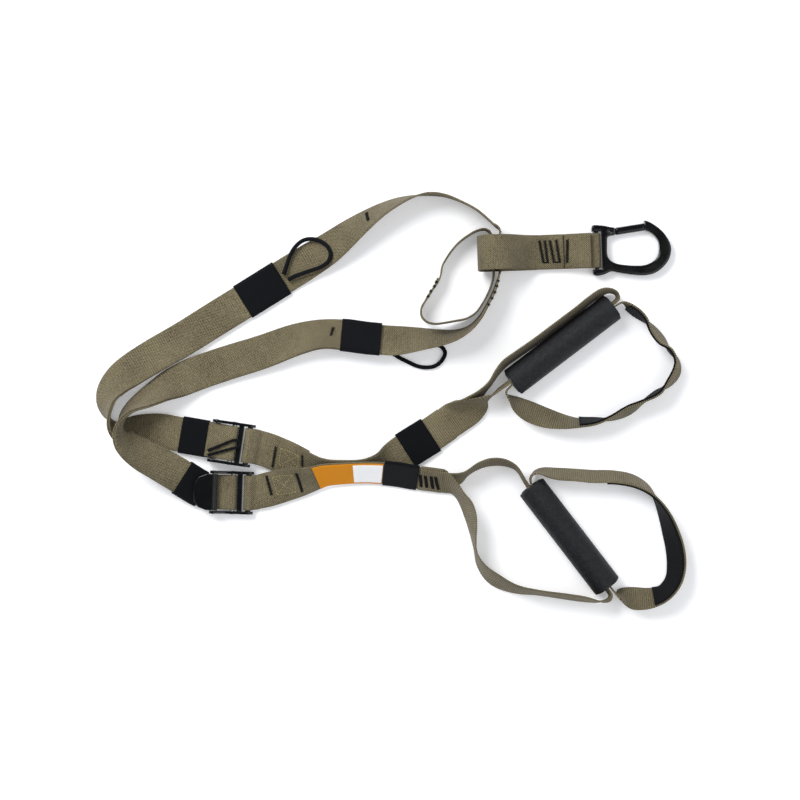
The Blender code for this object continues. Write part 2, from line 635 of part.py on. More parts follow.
def carabiner_body():
    """Forged body: the ring, less the gate's gap, its fork and the holes of both pins."""
    mat = DARK_METAL
    outlines = [
        rounded(line, CARABINER_LENGTH)
        for line in (CARABINER_OUTER_SHARES, CARABINER_OPENING_SHARES)
    ]
    body = plate("carabiner_body", outlines, CARABINER_THICK, mat, bevel=CARABINER_EDGE)
    hinge = gate_hinge()
    reach = GATE_LENGTH + CLEAR
    half = GATE_THICK / 2 + CLEAR
    lean = gate_lean()
    ear = GATE_THICK * GATE_EAR_SHARE
    outline = arc((0, 0), reach, -20, 13, 10) + [(ear, 2.2 * half)]
    outline += arc((0, 0), ear, 0, -75, 8) + [(half / 2, -2 * half)]
    gap = [hinge + lean @ Vector((x, y, 0)) for x, y in outline]
    window = plate("gate_window", [[(p.x, p.y) for p in gap]], 2 * CARABINER_THICK, None, TOOLS)
    cut(body, window)
    fork = cylinder("fork_slot", half + CLEAR, GATE_TONGUE + 2 * CLEAR, None, 32, TOOLS)
    fork.location = hinge
    cut(body, fork)
    mouth = box(
        "fork_mouth",
        (0, -2 * half, -GATE_TONGUE / 2 - CLEAR),
        (GATE_THICK, half, GATE_TONGUE / 2 + CLEAR),
        None,
        TOOLS,
    )
    mouth.location = hinge
    cut(body, mouth)
    hole = cylinder("gate_pin_hole", GATE_PIN_RADIUS + CLEAR / 2, 2 * CARABINER_THICK, None, 20, TOOLS)
    hole.location = hinge
    cut(body, hole)
    bore = cylinder("anchor_bar_bore", ANCHOR_BAR_RADIUS + CLEAR / 2, CARABINER_LENGTH, None, 24, TOOLS)
    bore.rotation_euler.x = math.radians(90)
    cut(body, bore)
    stand([body, window, fork, mouth, hole, bore], carabiner_frame())


def gate_lean():
    """The gate follows the slope of the upper limb."""
    return Matrix.Rotation(math.radians(GATE_LEAN), 3, "Z")


def carabiner_gate():
    """Gate bar with a thin tongue at its hinge and a rounded end."""
    half = GATE_THICK / 2
    hinge = gate_hinge()
    lean = gate_lean()
    start = GATE_THICK * GATE_EAR_SHARE + 2 * CLEAR
    outline = [(start, -half)] + arc((0, 0), GATE_LENGTH, -5.6, 5.6, 6) + [(start, half)]
    gate = plate("carabiner_gate", [outline], CARABINER_THICK * 0.8, DARK_METAL, bevel=0.0012)
    tongue_line = arc((0, 0), half, 90, 270, 10)
    tongue_line += [(start + OVERRUN, -half * 0.8), (start + OVERRUN, half * 0.8)]
    tongue = plate("gate_tongue", [tongue_line], GATE_TONGUE, None, TOOLS)
    cut(gate, tongue, "UNION")
    hole = cylinder("gate_bore", GATE_PIN_RADIUS + CLEAR, CARABINER_THICK, None, 20, TOOLS)
    cut(gate, hole)
    matrix = carabiner_frame() @ Matrix.Translation(hinge) @ lean.to_4x4()
    stand([gate, tongue, hole], matrix)


def carabiner_pins():
    """Steel pin of the gate and the bar that carries the anchor strap."""
    pin = cylinder("gate_hinge_pin", GATE_PIN_RADIUS, CARABINER_THICK, BRIGHT_STEEL, 20)
    pin.location = gate_hinge()
    bar = cylinder("anchor_bar", ANCHOR_BAR_RADIUS, CARABINER_LENGTH * ANCHOR_BAR_SHARE, BRIGHT_STEEL, 24)
    bar.rotation_euler.x = math.radians(90)
    stand([pin, bar], carabiner_frame())


def anchor_strap():
    """One strap sewn to itself in the middle, with an eye round the bar and a tall one."""
    side = carabiner_frame().to_3x3() @ Vector((0, 1, 0))
    middle = floor_point(*SEAM_PX)
    bar = carabiner_frame().translation
    ahead = side.cross(Vector((0, 0, 1)))

    def row(px, share):
        reach = (px - SEAM_PX[0]) * PIXEL
        return (middle + ahead * reach + Vector((0, 0, share * WEB_WIDTH)), side, 1.0)

    top = [row(px, share) for px, share in ANCHOR_TOP_SHARES if px <= SEAM_PX[0]]
    low = [row(px, share) for px, share in ANCHOR_LOW_SHARES]
    seam = [row(px, share) for px, share in ANCHOR_TOP_SHARES[1:] if px > SEAM_PX[0]]
    down = Vector((0, 0, -1))
    turn = wrapped(bar, side, down, ANCHOR_WRAP, -180, 8)
    path = top + low + turn + list(reversed(seam)) + [row(px, share) for px, share in SEAM_SHARES]
    centres = smooth([centre for centre, _, _ in path], 2)
    rows = [(centre, side, 1.0) for centre in centres]
    strap("anchor_strap", rows, WEB_WIDTH, WEB_THICK, WEBBING)


def buckle_frame_matrix(place_px, turn, height, flip):
    """Own frame of a buckle: +X along the strap to the stem, +Z to the lever's side."""
    matrix = Matrix.Translation(floor_point(*place_px, height))
    matrix = matrix @ Matrix.Rotation(math.radians(turn), 4, "Z")
    if flip:
        matrix = matrix @ Matrix.Rotation(math.pi, 4, "X")
    return matrix


def side_outline():
    """Side plate: low at the stem, with a round ear up to the lever's pin."""
    low = -SIDE_HEIGHT / 2
    ear = CAM_RADIUS * 0.95
    points = arc((-CAM_OFFSET, CAM_HEIGHT), ear, 20, 180, 8)
    points += arc((-CAM_OFFSET - ear + SIDE_REACH, low + SIDE_REACH), SIDE_REACH, 180, 270, 4)
    stem = STEM_BAR_OFFSET
    points += arc((stem, 0), SIDE_REACH, 270, 450, 10)
    points += [(-ROLLER_OFFSET, SIDE_REACH), (-CAM_OFFSET / 2, SIDE_REACH)]
    return points


def buckle(tag, matrix):
    """Frame, steel roller, toothed cam lever and its pin."""
    half = BUCKLE_INSIDE / 2
    frame = None
    pieces = []
    for side_name, side in (("left", 1), ("right", -1)):
        name = "buckle_frame_" + tag if side > 0 else "frame_side_" + tag
        holes = [
            arc((x, z), radius + CLEAR / 2, 360, 18, 19)
            for x, z, radius in (
                (-ROLLER_OFFSET, 0.0, ROLLER_RADIUS), (-CAM_OFFSET, CAM_HEIGHT, CAM_PIN_RADIUS)
            )
        ]
        cheek = plate(name, [side_outline()] + holes, SIDE_THICK, DARK_METAL)
        cheek.rotation_euler.x = math.radians(90)
        cheek.location.y = side * (half + SIDE_THICK / 2)
        pieces.append(cheek)
        if side > 0:
            frame = cheek
        else:
            cut(frame, cheek, "UNION")
    bar = cylinder("stem_bar_" + tag, STEM_BAR_RADIUS, BUCKLE_INSIDE + SIDE_THICK, None, 20, TOOLS)
    bar.rotation_euler.x = math.radians(90)
    bar.location.x = STEM_BAR_OFFSET
    cut(frame, bar, "UNION")
    start = ROLLER_WRAP + WEB_THICK / 2 + CLEAR - ROLLER_OFFSET
    cross = box(
        "cross_bar_" + tag,
        (start, -half - SIDE_THICK / 2, -CROSS_BAR_HEIGHT / 2),
        (start + CROSS_BAR_WIDTH, half + SIDE_THICK / 2, CROSS_BAR_HEIGHT / 2),
        None,
        TOOLS,
    )
    cut(frame, cross, "UNION")
    pieces += [bar, cross]
    full = BUCKLE_INSIDE + 2 * SIDE_THICK + 4 * CLEAR
    for name, radius, x, z in (
        ("roller", ROLLER_RADIUS, -ROLLER_OFFSET, 0.0),
        ("cam_pin", CAM_PIN_RADIUS, -CAM_OFFSET, CAM_HEIGHT),
    ):
        pin = cylinder(name + "_" + tag, radius, full, BRIGHT_STEEL, 20)
        pin.rotation_euler.x = math.radians(90)
        pin.location = (x, 0, z)
        pieces.append(pin)
    pieces += cam_lever(tag)
    stand(pieces, matrix)


def cam_lever(tag):
    """Ribbed cam barrel on the pin, with a rounded thumb plate."""
    width = BUCKLE_INSIDE - 4 * CLEAR
    outline = []
    for i in range(CAM_RIBS * 2):
        radius = CAM_RADIUS if i % 2 == 0 else CAM_RADIUS - GRIP_RIDGE_DEPTH
        outline += arc((0, 0), radius, 180 / CAM_RIBS * i, 180 / CAM_RIBS * (i + 0.6), 1)
    cam = plate("cam_lever_" + tag, [outline], width, DARK_METAL)
    cam.rotation_euler.x = math.radians(90)
    thumb_shares = (
        (0.0, 0.5), (-0.35, 0.5), (-0.75, 0.42), (-0.95, 0.25), (-1.0, 0.0),
        (-0.95, -0.25), (-0.75, -0.42), (-0.35, -0.5), (0.0, -0.5),
    )
    reach = THUMB_LENGTH + CAM_RADIUS
    line = [(x * reach, y * width) for x, y in thumb_shares]
    thumb = plate("thumb_" + tag, [line], THUMB_THICK, None, TOOLS, bevel=THUMB_THICK / 4)
    thumb.location.z = CAM_RADIUS - THUMB_THICK / 2
    cut(cam, thumb, "UNION")
    bore = cylinder("cam_bore_" + tag, CAM_PIN_RADIUS + CLEAR, 2 * width, None, 20, TOOLS)
    bore.rotation_euler.x = math.radians(90)
    cut(cam, bore)
    pieces = [cam, thumb, bore]
    for piece in pieces:
        piece.location += Vector((-CAM_OFFSET, 0, CAM_HEIGHT))
    return pieces


def doubled_leg(name, stations, matrix):
    """Strap that runs to its buckle, turns round the roller and comes back on itself."""
    rows = laid_rows(stations, WEB_WIDTH, STACK)
    roller = matrix @ Vector((-ROLLER_OFFSET, 0, 0))
    side = rows[-1][1]
    bar = (matrix.to_3x3() @ Vector((0, 1, 0))).normalized()
    bar = bar if bar.dot(side) > 0 else -bar
    ahead = (matrix.to_3x3() @ Vector((1, 0, 0))).normalized()
    approach = [rows[-1][0], roller - ahead * (2 * ROLLER_WRAP), roller]
    bend = smooth(approach, 4)[1:]
    for i, centre in enumerate(bend):
        share = (i + 1) / len(bend)
        rows.append((centre, mix(side, bar, share).normalized(), 1.0))
    gap = (WEB_THICK + CLEAR) / 2
    offsets = spread(len(rows), gap, ROLLER_WRAP, 7)
    out = shifted(rows, [-offset for offset in offsets])
    back = shifted(rows, offsets)
    normal = heading([row[0] for row in rows], len(rows) - 1).cross(bar).normalized()
    turn = wrapped(roller, bar, -normal, ROLLER_WRAP, turn_sign(bar, normal, ahead) * 180, 8)
    path = out[3:-1] + turn + list(reversed(back[:-1]))
    strap(name, path, WEB_WIDTH, WEB_THICK, WEBBING)
    return rows


def turn_sign(axis, normal, ahead):
    """Which way round the bar leads from below it, past its front, to above it."""
    quarter = Matrix.Rotation(math.radians(90), 3, axis) @ -normal
    return 1 if quarter.dot(ahead) > 0 else -1


def stem(name, stations, matrix, doubled):
    """Handle strap: a folded end round the buckle's bar, then one layer to the handle."""
    rows = laid_rows(stations, WEB_WIDTH, WEB_THICK)
    lap = WEB_THICK + CLEAR
    bar = matrix @ Vector((STEM_BAR_OFFSET, 0, 0))
    ahead = (matrix.to_3x3() @ Vector((1, 0, 0))).normalized()
    side = (matrix.to_3x3() @ Vector((0, 1, 0))).normalized()
    side = side if side.dot(rows[0][1]) > 0 else -side
    for i in range(STEM_EASE_ROWS):
        centre, across_row, width = rows[i]
        rows[i] = (centre, mix(side, across_row, i / STEM_EASE_ROWS).normalized(), width)
    lean = math.radians(STEM_LEAN)
    offsets = []
    for i, (centre, _, _) in enumerate(rows):
        past = (centre - bar).dot(ahead) - STEM_WRAP * math.sin(lean)
        peel = STEM_WRAP * (1 + math.cos(lean)) - past * math.tan(lean)
        offsets.append(max(lap * share_of(i, doubled), peel))
    top = shifted(rows, offsets)
    start = Matrix.Rotation(lean, 3, side) @ Vector((0, 0, 1))
    start = start if start.dot(ahead) > 0 else Matrix.Rotation(-lean, 3, side) @ Vector((0, 0, 1))
    turn = wrapped(bar, side, start, STEM_WRAP, -180 - STEM_LEAN, 10)
    path = list(reversed(top)) + turn + rows[:doubled]
    strap(name, path, WEB_WIDTH, WEB_THICK, WEBBING)
    return top


def share_of(index, doubled):
    """One where the strap lies on its own folded end, and none past it."""
    return max(0.0, min(1.0, (doubled + 3 - index) / 3))


def through_grip(ends, offset, width, share, count=6):
    """Straight rows through the bore, beside the grip's axis, with the webbing curled in."""
    near = floor_point(*ends[0], GRIP_RADIUS)
    far = floor_point(*ends[1], GRIP_RADIUS)
    up = Vector((0, 0, 1))
    aside = (far - near).normalized().cross(up) * offset
    rows = [(mix(near, far, i / count) + aside, up, share) for i in range(count + 1)]
    for end in (0, count):
        rows[end] = (rows[end][0], up, share * GRIP_MOUTH_SHARE)
    return rows


def stem_end(rows):
    """Where a stem ends: its middle, the direction across and the way on."""
    centre, side, _ = rows[-1]
    ahead = (centre - rows[-2][0]).normalized()
    ahead = (ahead - side * ahead.dot(side)).normalized()
    return centre, side, ahead


def fold_line(rows):
    """A point on the line about which a handle lifts, at the upper face of its straps."""
    centre, side, ahead = stem_end(rows)
    normal = ahead.cross(side)
    normal = normal if normal.z > 0 else -normal
    return centre + ahead * CLEAR + normal * NARROW_STACK / 2


def handle_strap(name, stations, ends, near_layer, offset, joint):
    """The two strands of a handle, one strap that runs through the grip."""
    near, far = stations
    layer = near_layer * (NARROW_THICK + CLEAR) / 2
    start = shifted(laid_rows(near, HANDLE_WIDTH, NARROW_STACK), layer)[1:]
    end = shifted(laid_rows(far, HANDLE_WIDTH, NARROW_STACK), -layer)[1:]
    centre, side, ahead = joint
    normal = ahead.cross(side)
    for strand, offcut in ((start, layer), (end, -layer)):
        strand.insert(0, (centre + ahead * 2 * CLEAR + normal * offcut, side, 1.0))
        for i in range(1, HANDLE_EASE_ROWS):
            place, own, share = strand[i]
            strand[i] = (place, mix(side, own, i / HANDLE_EASE_ROWS).normalized(), share)
    inside = through_grip(ends, offset, HANDLE_WIDTH, IN_GRIP_WIDTH / HANDLE_WIDTH)
    rows = start + inside + list(reversed(end))
    strap(name, rows, HANDLE_WIDTH, NARROW_THICK, WEBBING)
    return rows


def foot_strap(name, stations, ends, offset, from_far):
    """The loop for a foot, closed through the same grip."""
    loop = laid_rows(stations, FOOT_WIDTH, NARROW_THICK)
    inside = through_grip(ends, offset, FOOT_WIDTH, IN_GRIP_WIDTH / FOOT_WIDTH)
    middle = len(inside) // 2
    if from_far:
        rows = inside[middle + 1:] + loop + inside[:middle]
    else:
        back = list(reversed(inside))
        rows = back[middle + 1:] + loop + back[:middle]
    strap(name, rows, FOOT_WIDTH, NARROW_THICK, WEBBING)
    return loop


def foot_pad(name, loop):
    """Soft lining on the inner face of a foot loop."""
    rows = stretch(shifted(loop, (NARROW_THICK + PAD_THICK) / 2 + CLEAR), name)
    strap(name, rows, FOOT_WIDTH - 2 * PAD_MARGIN, PAD_THICK, DARK_FABRIC)


def grip(tag, ends):
    """Rubber grip on a plastic core, both open tubes, along the handle's axis."""
    a = floor_point(*ends[0], GRIP_RADIUS)
    b = floor_point(*ends[1], GRIP_RADIUS)
    along = (b - a).normalized()
    matrix = Matrix.Translation((a + b) / 2) @ along.to_track_quat("Z", "Y").to_matrix().to_4x4()
    half = GRIP_LENGTH / 2
    bore = GRIP_RADIUS - GRIP_WALL
    edge = GRIP_WALL / 3
    outer = [(bore, half), (GRIP_RADIUS - edge, half), (GRIP_RADIUS, half - edge)]
    outer += [(GRIP_RADIUS, -half + edge), (GRIP_RADIUS - edge, -half), (bore, -half)]
    skin = turned("grip_" + tag, outer, GRIP_RUBBER, 40)
    core_outer = bore - CLEAR / 2
    inner = core_outer - CORE_WALL
    tip = half + CORE_FLANGE
    profile = [(inner, tip), (core_outer, tip), (core_outer, -tip), (inner, -tip)]
    core = turned("grip_core_" + tag, profile, CORE_PLASTIC, 32)
    stand([skin, core], matrix)
    return matrix


def build_handles(stem_a, stem_b):
    """Both handles with their foot loops, pads and grips."""
    inner = IN_GRIP_OFFSET
    ends = GRIP_A_ENDS_PX
    stations = (HANDLE_A_NEAR_SHARES, HANDLE_A_FAR_SHARES)
    handle_strap("handle_strap_a", stations, ends, 1, -inner, stem_end(stem_a))
    loop = foot_strap("foot_strap_a", FOOT_A_SHARES, ends, inner, True)
    foot_pad("foot_pad_a", loop)
    grip("a", ends)
    ends = GRIP_B_ENDS_PX
    stations = (HANDLE_B_NEAR_SHARES, HANDLE_B_FAR_SHARES)
    handle_strap("handle_strap_b", stations, ends, -1, inner, stem_end(stem_b))
    loop = foot_strap("foot_strap_b", FOOT_B_SHARES, ends, -inner, False)
    foot_pad("foot_pad_b", loop)
    grip("b", ends)


def rest_on_origin():
    """Moves the whole lay so that its box stands centred on the origin."""
    bpy.context.view_layer.update()
    graph = bpy.context.evaluated_depsgraph_get()
    low = Vector((1, 1, 1))
    high = -low
    parts = list(bpy.data.collections[PARTS].objects)
    for obj in parts:
        shape = obj.evaluated_get(graph)
        mesh = shape.to_mesh()
        for vert in mesh.vertices:
            place = shape.matrix_world @ vert.co
            low = Vector(min(p) for p in zip(low, place))
            high = Vector(max(p) for p in zip(high, place))
        shape.to_mesh_clear()
    shift = Matrix.Translation((-(low.x + high.x) / 2, -(low.y + high.y) / 2, -low.z))
    tools = list(bpy.data.collections[TOOLS].objects)
    stand(parts + tools, shift)


def set_origin(obj, place):
    """Moves an object's origin to a place and leaves its shape where it is."""
    inverse = obj.matrix_basis.inverted()
    obj.data.transform(Matrix.Translation(-(inverse @ place)))
    obj.matrix_basis = obj.matrix_basis @ Matrix.Translation(inverse @ place)


def clear_scene():
    for obj in list(bpy.data.objects):
        bpy.data.objects.remove(obj)
    for name in (PARTS, TOOLS):
        holder = bpy.data.collections.new(name)
        bpy.context.scene.collection.children.link(holder)


def main():
    clear_scene()
    carabiner_body()
    carabiner_gate()
    carabiner_pins()
    anchor_strap()
    layer = -(WEB_THICK + CLEAR) / 2
    lead_a = shifted(laid_rows(LEG_A_LEAD_SHARES, WEB_WIDTH, STACK), layer)
    strap("leg_a_lead", lead_a, WEB_WIDTH, WEB_THICK, WEBBING)
    lead_b = shifted(laid_rows(LEG_B_LEAD_SHARES, WEB_WIDTH, STACK), layer)
    strap("leg_b_lead", lead_b, WEB_WIDTH, WEB_THICK, WEBBING)
    ring = laid_rows(RING_SHARES, RING_WIDTH, NARROW_THICK)
    strap("equalizer_loop", ring, RING_WIDTH, NARROW_THICK, WEBBING)
    place_a = buckle_frame_matrix(BUCKLE_A_PX, BUCKLE_A_TURN, BUCKLE_A_HEIGHT, True)
    place_b = buckle_frame_matrix(BUCKLE_B_PX, BUCKLE_B_TURN, BUCKLE_B_HEIGHT, False)
    buckle("a", place_a)
    buckle("b", place_b)
    leg_a = doubled_leg("leg_a_strap", LEG_A_SHARES, place_a)
    leg_b = doubled_leg("leg_b_strap", LEG_B_SHARES, place_b)
    fabric = DARK_FABRIC
    for name, leg in (
        ("keeper_a_upper", leg_a), ("keeper_b_upper", leg_b),
        ("keeper_a_lower", leg_a), ("keeper_b_lower", leg_b),
    ):
        sleeve(name, stretch(leg, name), WEB_WIDTH, STACK, SLEEVE_WALL, fabric)
    stem_a = stem("stem_a", STEM_A_SHARES, place_a, STEM_FOLD_ROWS)
    stem_b = stem("stem_b", STEM_B_SHARES, place_b, STEM_FOLD_ROWS)
    for name, rows in (("tag_a", stem_a), ("tag_b", stem_b)):
        sleeve(name, stretch(rows, name), WEB_WIDTH + TAG_SLACK, WEB_THICK, TAG_WALL, fabric)
    on_top = shifted(stem_b, (WEB_THICK + LABEL_THICK) / 2 + CLEAR)
    label = stretch(on_top, "care_label")
    strap("care_label", label, WEB_WIDTH - TAG_SLACK, LABEL_THICK, PRINTED_LABEL)
    build_handles(stem_a, stem_b)
    for name, route, thick in (
        ("cord_a_upper", CORD_A_ROUTE, CORD_THICK),
        ("cord_b_upper", CORD_B_ROUTE, CORD_THICK),
        ("cord_a_lower", PULL_CORD_ROUTE, PULL_CORD_THICK),
    ):
        places = [floor_point(px, py, rise * thick) for px, py, rise in route]
        tube(name, places, thick, fabric)
    parts = bpy.data.collections[PARTS].objects
    for tag, rows in (("a", stem_a), ("b", stem_b)):
        fold = fold_line(rows)
        for name in ("handle_strap_", "foot_strap_", "foot_pad_"):
            set_origin(parts[name + tag], fold)
    set_origin(parts["keeper_a_upper"], leg_a[3][0])
    rest_on_origin()


main()
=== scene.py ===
"""Looks of a suspension trainer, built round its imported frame: webbing, stitching, finishes and stage."""

import json
import math

import bmesh
import bpy
from bpy.props import FloatProperty, FloatVectorProperty, IntProperty, PointerProperty, StringProperty
from mathutils import Matrix, Vector


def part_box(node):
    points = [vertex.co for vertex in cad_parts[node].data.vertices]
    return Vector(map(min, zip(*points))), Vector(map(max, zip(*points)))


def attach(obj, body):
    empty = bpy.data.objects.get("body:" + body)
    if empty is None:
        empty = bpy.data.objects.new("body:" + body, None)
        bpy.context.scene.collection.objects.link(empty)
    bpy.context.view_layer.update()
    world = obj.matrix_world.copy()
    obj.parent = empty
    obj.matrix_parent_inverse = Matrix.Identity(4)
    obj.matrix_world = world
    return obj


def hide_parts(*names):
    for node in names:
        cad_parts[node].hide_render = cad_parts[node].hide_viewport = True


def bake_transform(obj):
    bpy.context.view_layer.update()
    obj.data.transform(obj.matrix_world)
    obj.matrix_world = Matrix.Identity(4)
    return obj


bl_info = {
    "name": "Suspension trainer looks",
    "version": (1, 0, 0),
    "blender": (4, 5, 0),
    "location": "3D View > Sidebar > Trainer",
    "description": "Dresses the suspension trainer's frame with webbing, stitching and finishes",
    "category": "Object",
}

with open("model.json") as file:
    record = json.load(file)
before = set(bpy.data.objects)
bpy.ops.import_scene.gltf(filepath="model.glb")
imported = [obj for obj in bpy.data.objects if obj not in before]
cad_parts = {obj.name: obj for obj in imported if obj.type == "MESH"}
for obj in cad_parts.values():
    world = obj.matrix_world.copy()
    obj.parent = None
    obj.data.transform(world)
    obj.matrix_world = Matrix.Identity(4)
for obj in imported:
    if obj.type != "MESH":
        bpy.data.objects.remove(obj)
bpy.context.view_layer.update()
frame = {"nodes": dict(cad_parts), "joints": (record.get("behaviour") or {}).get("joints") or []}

# How the photographed lay maps to metres, and the clearances of the frame
LAY_LENGTH = 0.6413
LAY_SPAN_PX = 583.0
LAY_CENTRE_PX = (394.5, 399.5)
PIXEL = LAY_LENGTH / LAY_SPAN_PX
CLEAR = 0.0003

# Fabric sizes that the frame fixes
SLEEVE_WALL = 0.0012
TAG_WALL = 0.0009
TAG_SLACK = 0.0016
PAD_THICK = 0.0020
PAD_MARGIN = 0.0010
LABEL_THICK = 0.0006
RING_WIDTH = 0.022
IN_GRIP_WIDTH = 0.0208
GRIP_MOUTH_SHARE = 0.73
IN_GRIP_OFFSET = 0.0013
IN_GRIP_STEPS = 6
CURL_DEPTH = 0.0050

# Faces across a label or a sleeve, and points of a cord between two of its stations
LABEL_COLUMNS = 8
CORD_STEPS = 8

# Soft edge of webbing and rim of a sleeve, as shares of their thickness
EDGE_SHARE = 0.4
SHOULDER_SHARE = 0.25
SHOULDER_HEIGHT = 0.62
RIM_SHARE = 0.35

# Buckle sizes that the webbing has to follow
ROLLER_RADIUS = 0.0025
STEM_BAR_RADIUS = 0.0030
ANCHOR_BAR_RADIUS = 0.0025
ROLLER_OFFSET = 0.0066
STEM_BAR_OFFSET = 0.0108
STEM_LEAN = 35.0
STEM_EASE_ROWS = 4

# Rows laid between two stations in the frame, and how many of the looks' rows stand for one
FRAME_STEPS = 3
FINER = 3
STEM_FOLD_ROWS = 12
FOLD_EASE_ROWS = 3
HANDLE_EASE_ROWS = 4
TAG_GAP_ROWS = 1 / 3

# Rows of a leg that open out to its roller, that its lead covers, and that follow each bend
OPENING_ROWS = 7
COVERED_ROWS = 3
APPROACH_STEPS = 4
TURN_STEPS = 8
STEM_TURN_STEPS = 10

# Seam of the anchor strap, and where its webbing ends past it
SEAM_PX = (563, 252)
SEAM_SHARES = ((564, 0.236),)

# Buckles: place, turn in degrees, height, and whether the lever faces down
BUCKLES = {"a": ((239, 444), -8.5, 0.0125, True), "b": ((239, 492.4), -2.0, 0.0064, False)}
GRIP_ENDS_PX = {"a": ((512, 382.5), (610.6, 307.5)), "b": ((531.3, 487.4), (605.1, 583.8))}

# Stitching, by the two ends of each tack, the corners of each box and the places of dots
STEM_TACKS_PX = {
    "a": (((276.1, 446.9), (272.6, 466.8)), ((303.7, 455.1), (303.2, 465.3))),
    "b": (((267.4, 475.5), (272, 494.4)), ((297.6, 471.9), (302.7, 491.3))),
}
STEM_BOX_PX = {
    "a": ((281, 448), (299.5, 455.5), (298.5, 467), (279, 465)),
    "b": ((273, 476.5), (293, 473.8), (297, 491.5), (277.5, 494.5)),
}
STRAND_TACKS_PX = (
    ((420.2, 472), (421.2, 484)), ((425.2, 473), (426.6, 484.8)),
    ((430.8, 473.6), (433, 486)), ((435.2, 474.2), (438.6, 486.8)),
)
LEG_B_TICK_PX = ((333.6, 328.4), (331.6, 336.2))
LEAD_A_TICK_PX = ((367, 214), (369, 222.6))
ANCHOR_TACKS_PX = (
    ((538.8, 241.4), (543, 263.1)), ((544.4, 241.4), (547.2, 263.1)), ((549.3, 241.4), (553.5, 262.4)),
    ((555.6, 240.7), (559.1, 262.4)), ((543, 263.1), (547.2, 263.1)), ((553.5, 262.8), (559.1, 262.8)),
)
SEAM_TACKS_PX = (((567, 240.7), (566.6, 263.1)),)
RING_DOTS_PX = ((436, 283), (433, 287), (429, 291), (428, 297))
LEAD_B_DOTS_PX = ((498, 272), (497, 280), (495, 287), (492, 293), (489, 299), (485, 305))

# Bar tacks: length of a thread, distance between two as a share of its thickness, and their slant
TACK_LENGTH = 0.0042
TACK_GAP_SHARE = 0.75
TACK_LEAN = 0.4
# Thread of a seam, against the pitch and against a tack's thread, and how far threads stand out
SEAM_THREAD_SHARE = 0.75
THREAD_RISE_SHARE = 0.25
# Least share of a strap's width, squared, that still shows from above where it lies on its side
FLAT_ENOUGH = 0.04

# Pale panel of the label: its start and end along the label, its width and thickness, as shares
PANEL_START = 0.52
PANEL_END = 0.95
PANEL_WIDTH = 0.86
PANEL_THICK = 0.5
PANEL_RISE = 0.55

# How far the coat rounds the light on the edges of forged and of stamped metal
FORGED_EDGE = 0.0036
STAMPED_EDGE = 0.0012

# Camera's sensor, and the middle of the photograph that it stands over
SENSOR_MM = 36.0
PHOTO_CENTRE_PX = (400, 400)

# Place and width of each soft light
KEY_LIGHT = ((-1.1, 1.2, 2.0), 1.3)
FILL_LIGHT = ((1.4, -0.6, 2.2), 2.6)
WHITE = (1.0, 1.0, 1.0, 1.0)
ROOM_COLOUR = (0.93, 0.95, 1.0, 1.0)
# Light that the pale table gives off itself, which keeps its shadows light
FLOOR_GLOW = 0.2
# Strength of the room's light on surfaces, and of what glossy ones mirror of it
ROOM_LIGHT = 0.5
MIRRORED_LIGHT = 0.1
WALL_LIGHT = 5.0
WALL_FALL = 7.0

# Lift and width of a station that names neither
FLAT_AND_WIDE = (0.0, 1.0)

# Where the sewn pieces start and end, counted in rows of the strap under them
ROWS = {
    "keeper_a_upper": (0, 6), "keeper_b_upper": (0, 6.6), "keeper_a_lower": (51.6, 56.6),
    "keeper_b_lower": (55, 60), "tag_a": (30, 36), "tag_b": (24.3, 31.3),
    "care_label": (13, 24.1), "foot_pad_a": (6, 48), "foot_pad_b": (20, 50),
}

# Strap stations: x px, y px, tilt in degrees, then lift of the low edge and width, both as shares of
# the whole width, left out where they are 0 and 1
LEG_A_LEAD_SHARES = (
    (499, 251, 88, 0.07), (500, 240, 88, 0.07), (499.5, 231, 87, 0.07), (494, 225.5, 86, 0.02),
    (486, 218, 86), (476, 210, 86), (463, 203, 86), (446, 196.5, 88), (430, 194.5, 89), (415, 196.5, 84),
    (398, 202, 74), (380, 211, 64), (358, 226, 48), (328, 249, 22), (310, 260.5, 8, 0.03),
    (290, 273, 0, 0.045), (282, 278, 0, 0.045), (269, 286.1, 0, 0.045),
)
LEG_B_LEAD_SHARES = (
    (499, 251.5, 92, 0.07), (499, 262, 92, 0.07), (498.3, 271, 92, 0.07), (496, 281, 90, 0.02),
    (492, 293, 88), (486, 305, 88), (479, 317, 86), (469, 327.5, 82), (455, 334.5, 72), (438, 337.5, 60),
    (420, 338.8, 48), (404, 339.9, 36, 0.02), (392, 340.3, 30, 0.045), (381, 339.6, 30, 0.045),
    (368, 338.4, 30, 0.045),
)
LEG_A_SHARES = (
    (282, 278, 0, 0.045), (268, 286.7, 0, 0.045), (243, 302.3, 0, 0.045), (215, 319.6, 2, 0.03),
    (183, 339.5, 5), (156, 355, 10), (131, 371, 18), (118, 382, 32), (111, 392, 42), (109, 400, 50),
    (109.3, 408, 62), (111, 417, 80), (115, 425, 100), (121, 430.5, 124), (130, 432.5, 146),
    (143, 431, 162), (160, 430.8, 172, 0.02), (178, 433.8, 178, 0.06), (195, 436.6, 180, 0.15),
    (210, 439.1, 180, 0.24),
)
LEG_B_SHARES = (
    (381, 339.6, 30, 0.045), (366, 338.2, 30, 0.045), (346, 335.5, 30, 0.045), (323, 334.5, 34, 0.03),
    (298, 339.5, 26), (263, 352, 14), (226, 363.5, 8), (199, 372.8, 8), (181, 380.5, 18), (162, 390, 42),
    (148, 399, 54, 0.08), (138, 406.5, 64, 0.22), (130, 415, 76, 0.40), (126, 424, 88, 0.54),
    (125.5, 433, 106, 0.60), (130, 442.5, 124, 0.58), (143, 452.5, 146, 0.50), (160, 462.5, 158, 0.38),
    (178, 473.5, 170, 0.28), (192, 483, 178, 0.16), (202.5, 489, 180, 0.12), (211, 491.4, 180, 0.112),
)
